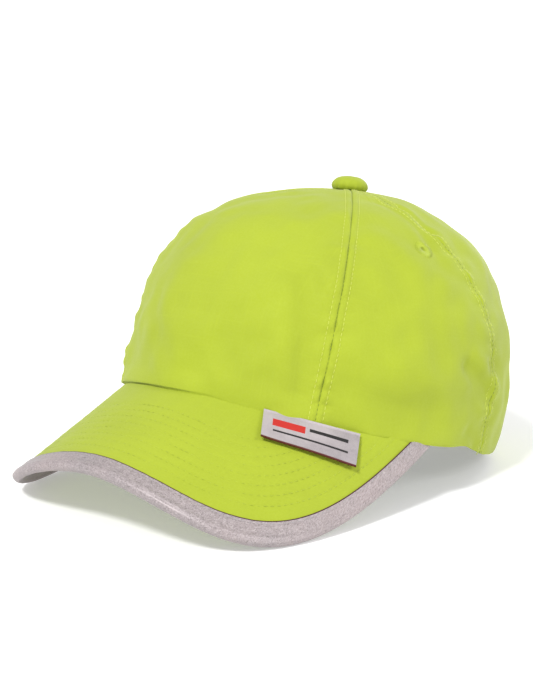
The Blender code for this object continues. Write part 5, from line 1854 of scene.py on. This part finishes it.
@dataclass
class Studio:
    """A pale floor, soft lights, and the camera in front of the cap, to its left."""

    azimuth: float = math.radians(41.118)
    elevation: float = math.radians(10.446)
    distance: float = 0.70817
    lens: float = 81.04
    aim: tuple[float, float] = (-10.65 * MM, 1.76 * MM)
    aim_height: float = 60 * MM

    @staticmethod
    def towards(turn: float, rise: float) -> Vector:
        """The direction at a turn from the cap's front and a rise from the table."""
        return Vector((math.sin(turn) * math.cos(rise), -math.cos(turn) * math.cos(rise), math.sin(rise)))

    def axes(self) -> tuple[Vector, Vector, Vector]:
        """The camera's backward, rightward and upward directions."""
        back = self.towards(self.azimuth, self.elevation)
        right = Vector((math.cos(self.azimuth), math.sin(self.azimuth), 0))
        return back, right, back.cross(right)

    def camera(self) -> None:
        """Makes the scene's camera."""
        back, right, up = self.axes()
        target = Vector((0, TO_ORIGIN - 20 * MM, self.aim_height)) + right * self.aim[0] + up * self.aim[1]
        data = bpy.data.cameras.new("Camera")
        data.sensor_width, data.lens = 36.0, self.lens
        data.clip_start, data.clip_end = 0.01, 50.0
        camera = bpy.data.objects.new("Camera", data)
        camera.rotation_mode = "QUATERNION"
        camera.rotation_quaternion = (-back).to_track_quat("-Z", "Y")
        camera.location = target + back * self.distance
        bpy.context.scene.collection.objects.link(camera)
        bpy.context.scene.camera = camera

    def lamp(self, data: bpy.types.Light, place: Vector, back: Vector) -> None:
        """Adds a light that stands at a place and shines against a direction."""
        lamp = bpy.data.objects.new(data.name, data)
        lamp.location = place
        lamp.rotation_euler = back.to_track_quat("Z", "Y").to_euler()
        bpy.context.scene.collection.objects.link(lamp)

    def light(self, name: str, place: tuple[float, float, float], size: float, watts: float) -> None:
        """Adds a square area light that faces the middle of the cap.

        Args:
            name: the light's name.
            place: where it stands.
            size: its side, in metres.
            watts: its power.
        """
        data = bpy.data.lights.new(name, "AREA")
        data.size, data.energy = size, watts
        self.lamp(data, Vector(place), Vector(place) - Vector((0, 0, self.aim_height)))

    def sun(self, azimuth: float, elevation: float, strength: float, spread: float) -> None:
        """Adds a soft distant light.

        Args:
            azimuth: its direction in degrees, 0 in front of the cap and positive to the wearer's left.
            elevation: its height in degrees.
            strength: its power per square metre.
            spread: its apparent size in degrees.
        """
        data = bpy.data.lights.new("Sun", "SUN")
        data.energy, data.angle = strength, math.radians(spread)
        self.lamp(data, Vector(), self.towards(math.radians(azimuth), math.radians(elevation)))

    def floor(self) -> None:
        """A plain pale floor that curves up far away on every side."""
        turn = np.linspace(0, math.tau, 64, endpoint=False)[:, None]
        profile = np.array([(0.01, 0.0), (2.0, 0.0), (12.0, 0.0), (22.0, 0.0), (26.0, 0.8), (28.0, 3.0), (28.5, 7.0)])
        ring = np.stack([profile[:, 0] * np.cos(turn), profile[:, 0] * np.sin(turn), profile[:, 1] + 0 * turn], axis=-1)
        shape = Shape()
        shape.add(ring, [grid_faces(64, 7, True), np.arange(64)[None] * 7])
        floor = shape.build("floor")
        made = bpy.data.materials.new("Pale floor")
        made.use_nodes = True
        graph = Graph(made.node_tree)
        shader = made.node_tree.nodes["Principled BSDF"]
        drift = graph.noise(graph.add("TexCoord").outputs["Object"], 6.0, 2.0)
        colour = graph.blend(drift, (0.70, 0.70, 0.70, 1), (0.715, 0.715, 0.715, 1))
        graph.join(colour, shader.inputs["Base Color"])
        shader.inputs["Roughness"].default_value = 0.9
        shader.inputs["Emission Color"].default_value = (1.0, 1.0, 1.0, 1.0)
        shader.inputs["Emission Strength"].default_value = 0.34
        floor.data.materials.append(made)

    def build(self) -> None:
        """Builds the floor, lights, surroundings and camera."""
        scene = bpy.context.scene
        scene.view_settings.view_transform = "Standard"
        world = bpy.data.worlds.new("Studio")
        world.use_nodes = True
        background = world.node_tree.nodes["Background"]
        background.inputs["Color"].default_value = (1.0, 1.0, 1.0, 1.0)
        background.inputs["Strength"].default_value = 0.6
        scene.world = world
        self.floor()
        self.sun(8.0, 50.0, 2.9, 11.0)
        self.light("Fill", (1.9, 0.1, 1.2), 0.7, 13.0)
        self.light("Back", (-0.2, 2.2, 1.3), 0.9, 9.0)
        self.camera()


def main() -> None:
    """Builds the cap's sub-assemblies in order, then the studio."""
    logging.basicConfig(level=logging.INFO, format="%(name)s: %(message)s", force=True)
    Crown().build()
    Brim().build()
    SideLabel().build()
    Sweatband().build()
    RearStrap().build()
    Liner().build()
    Studio().build()


if __name__ == "__main__":
    main()
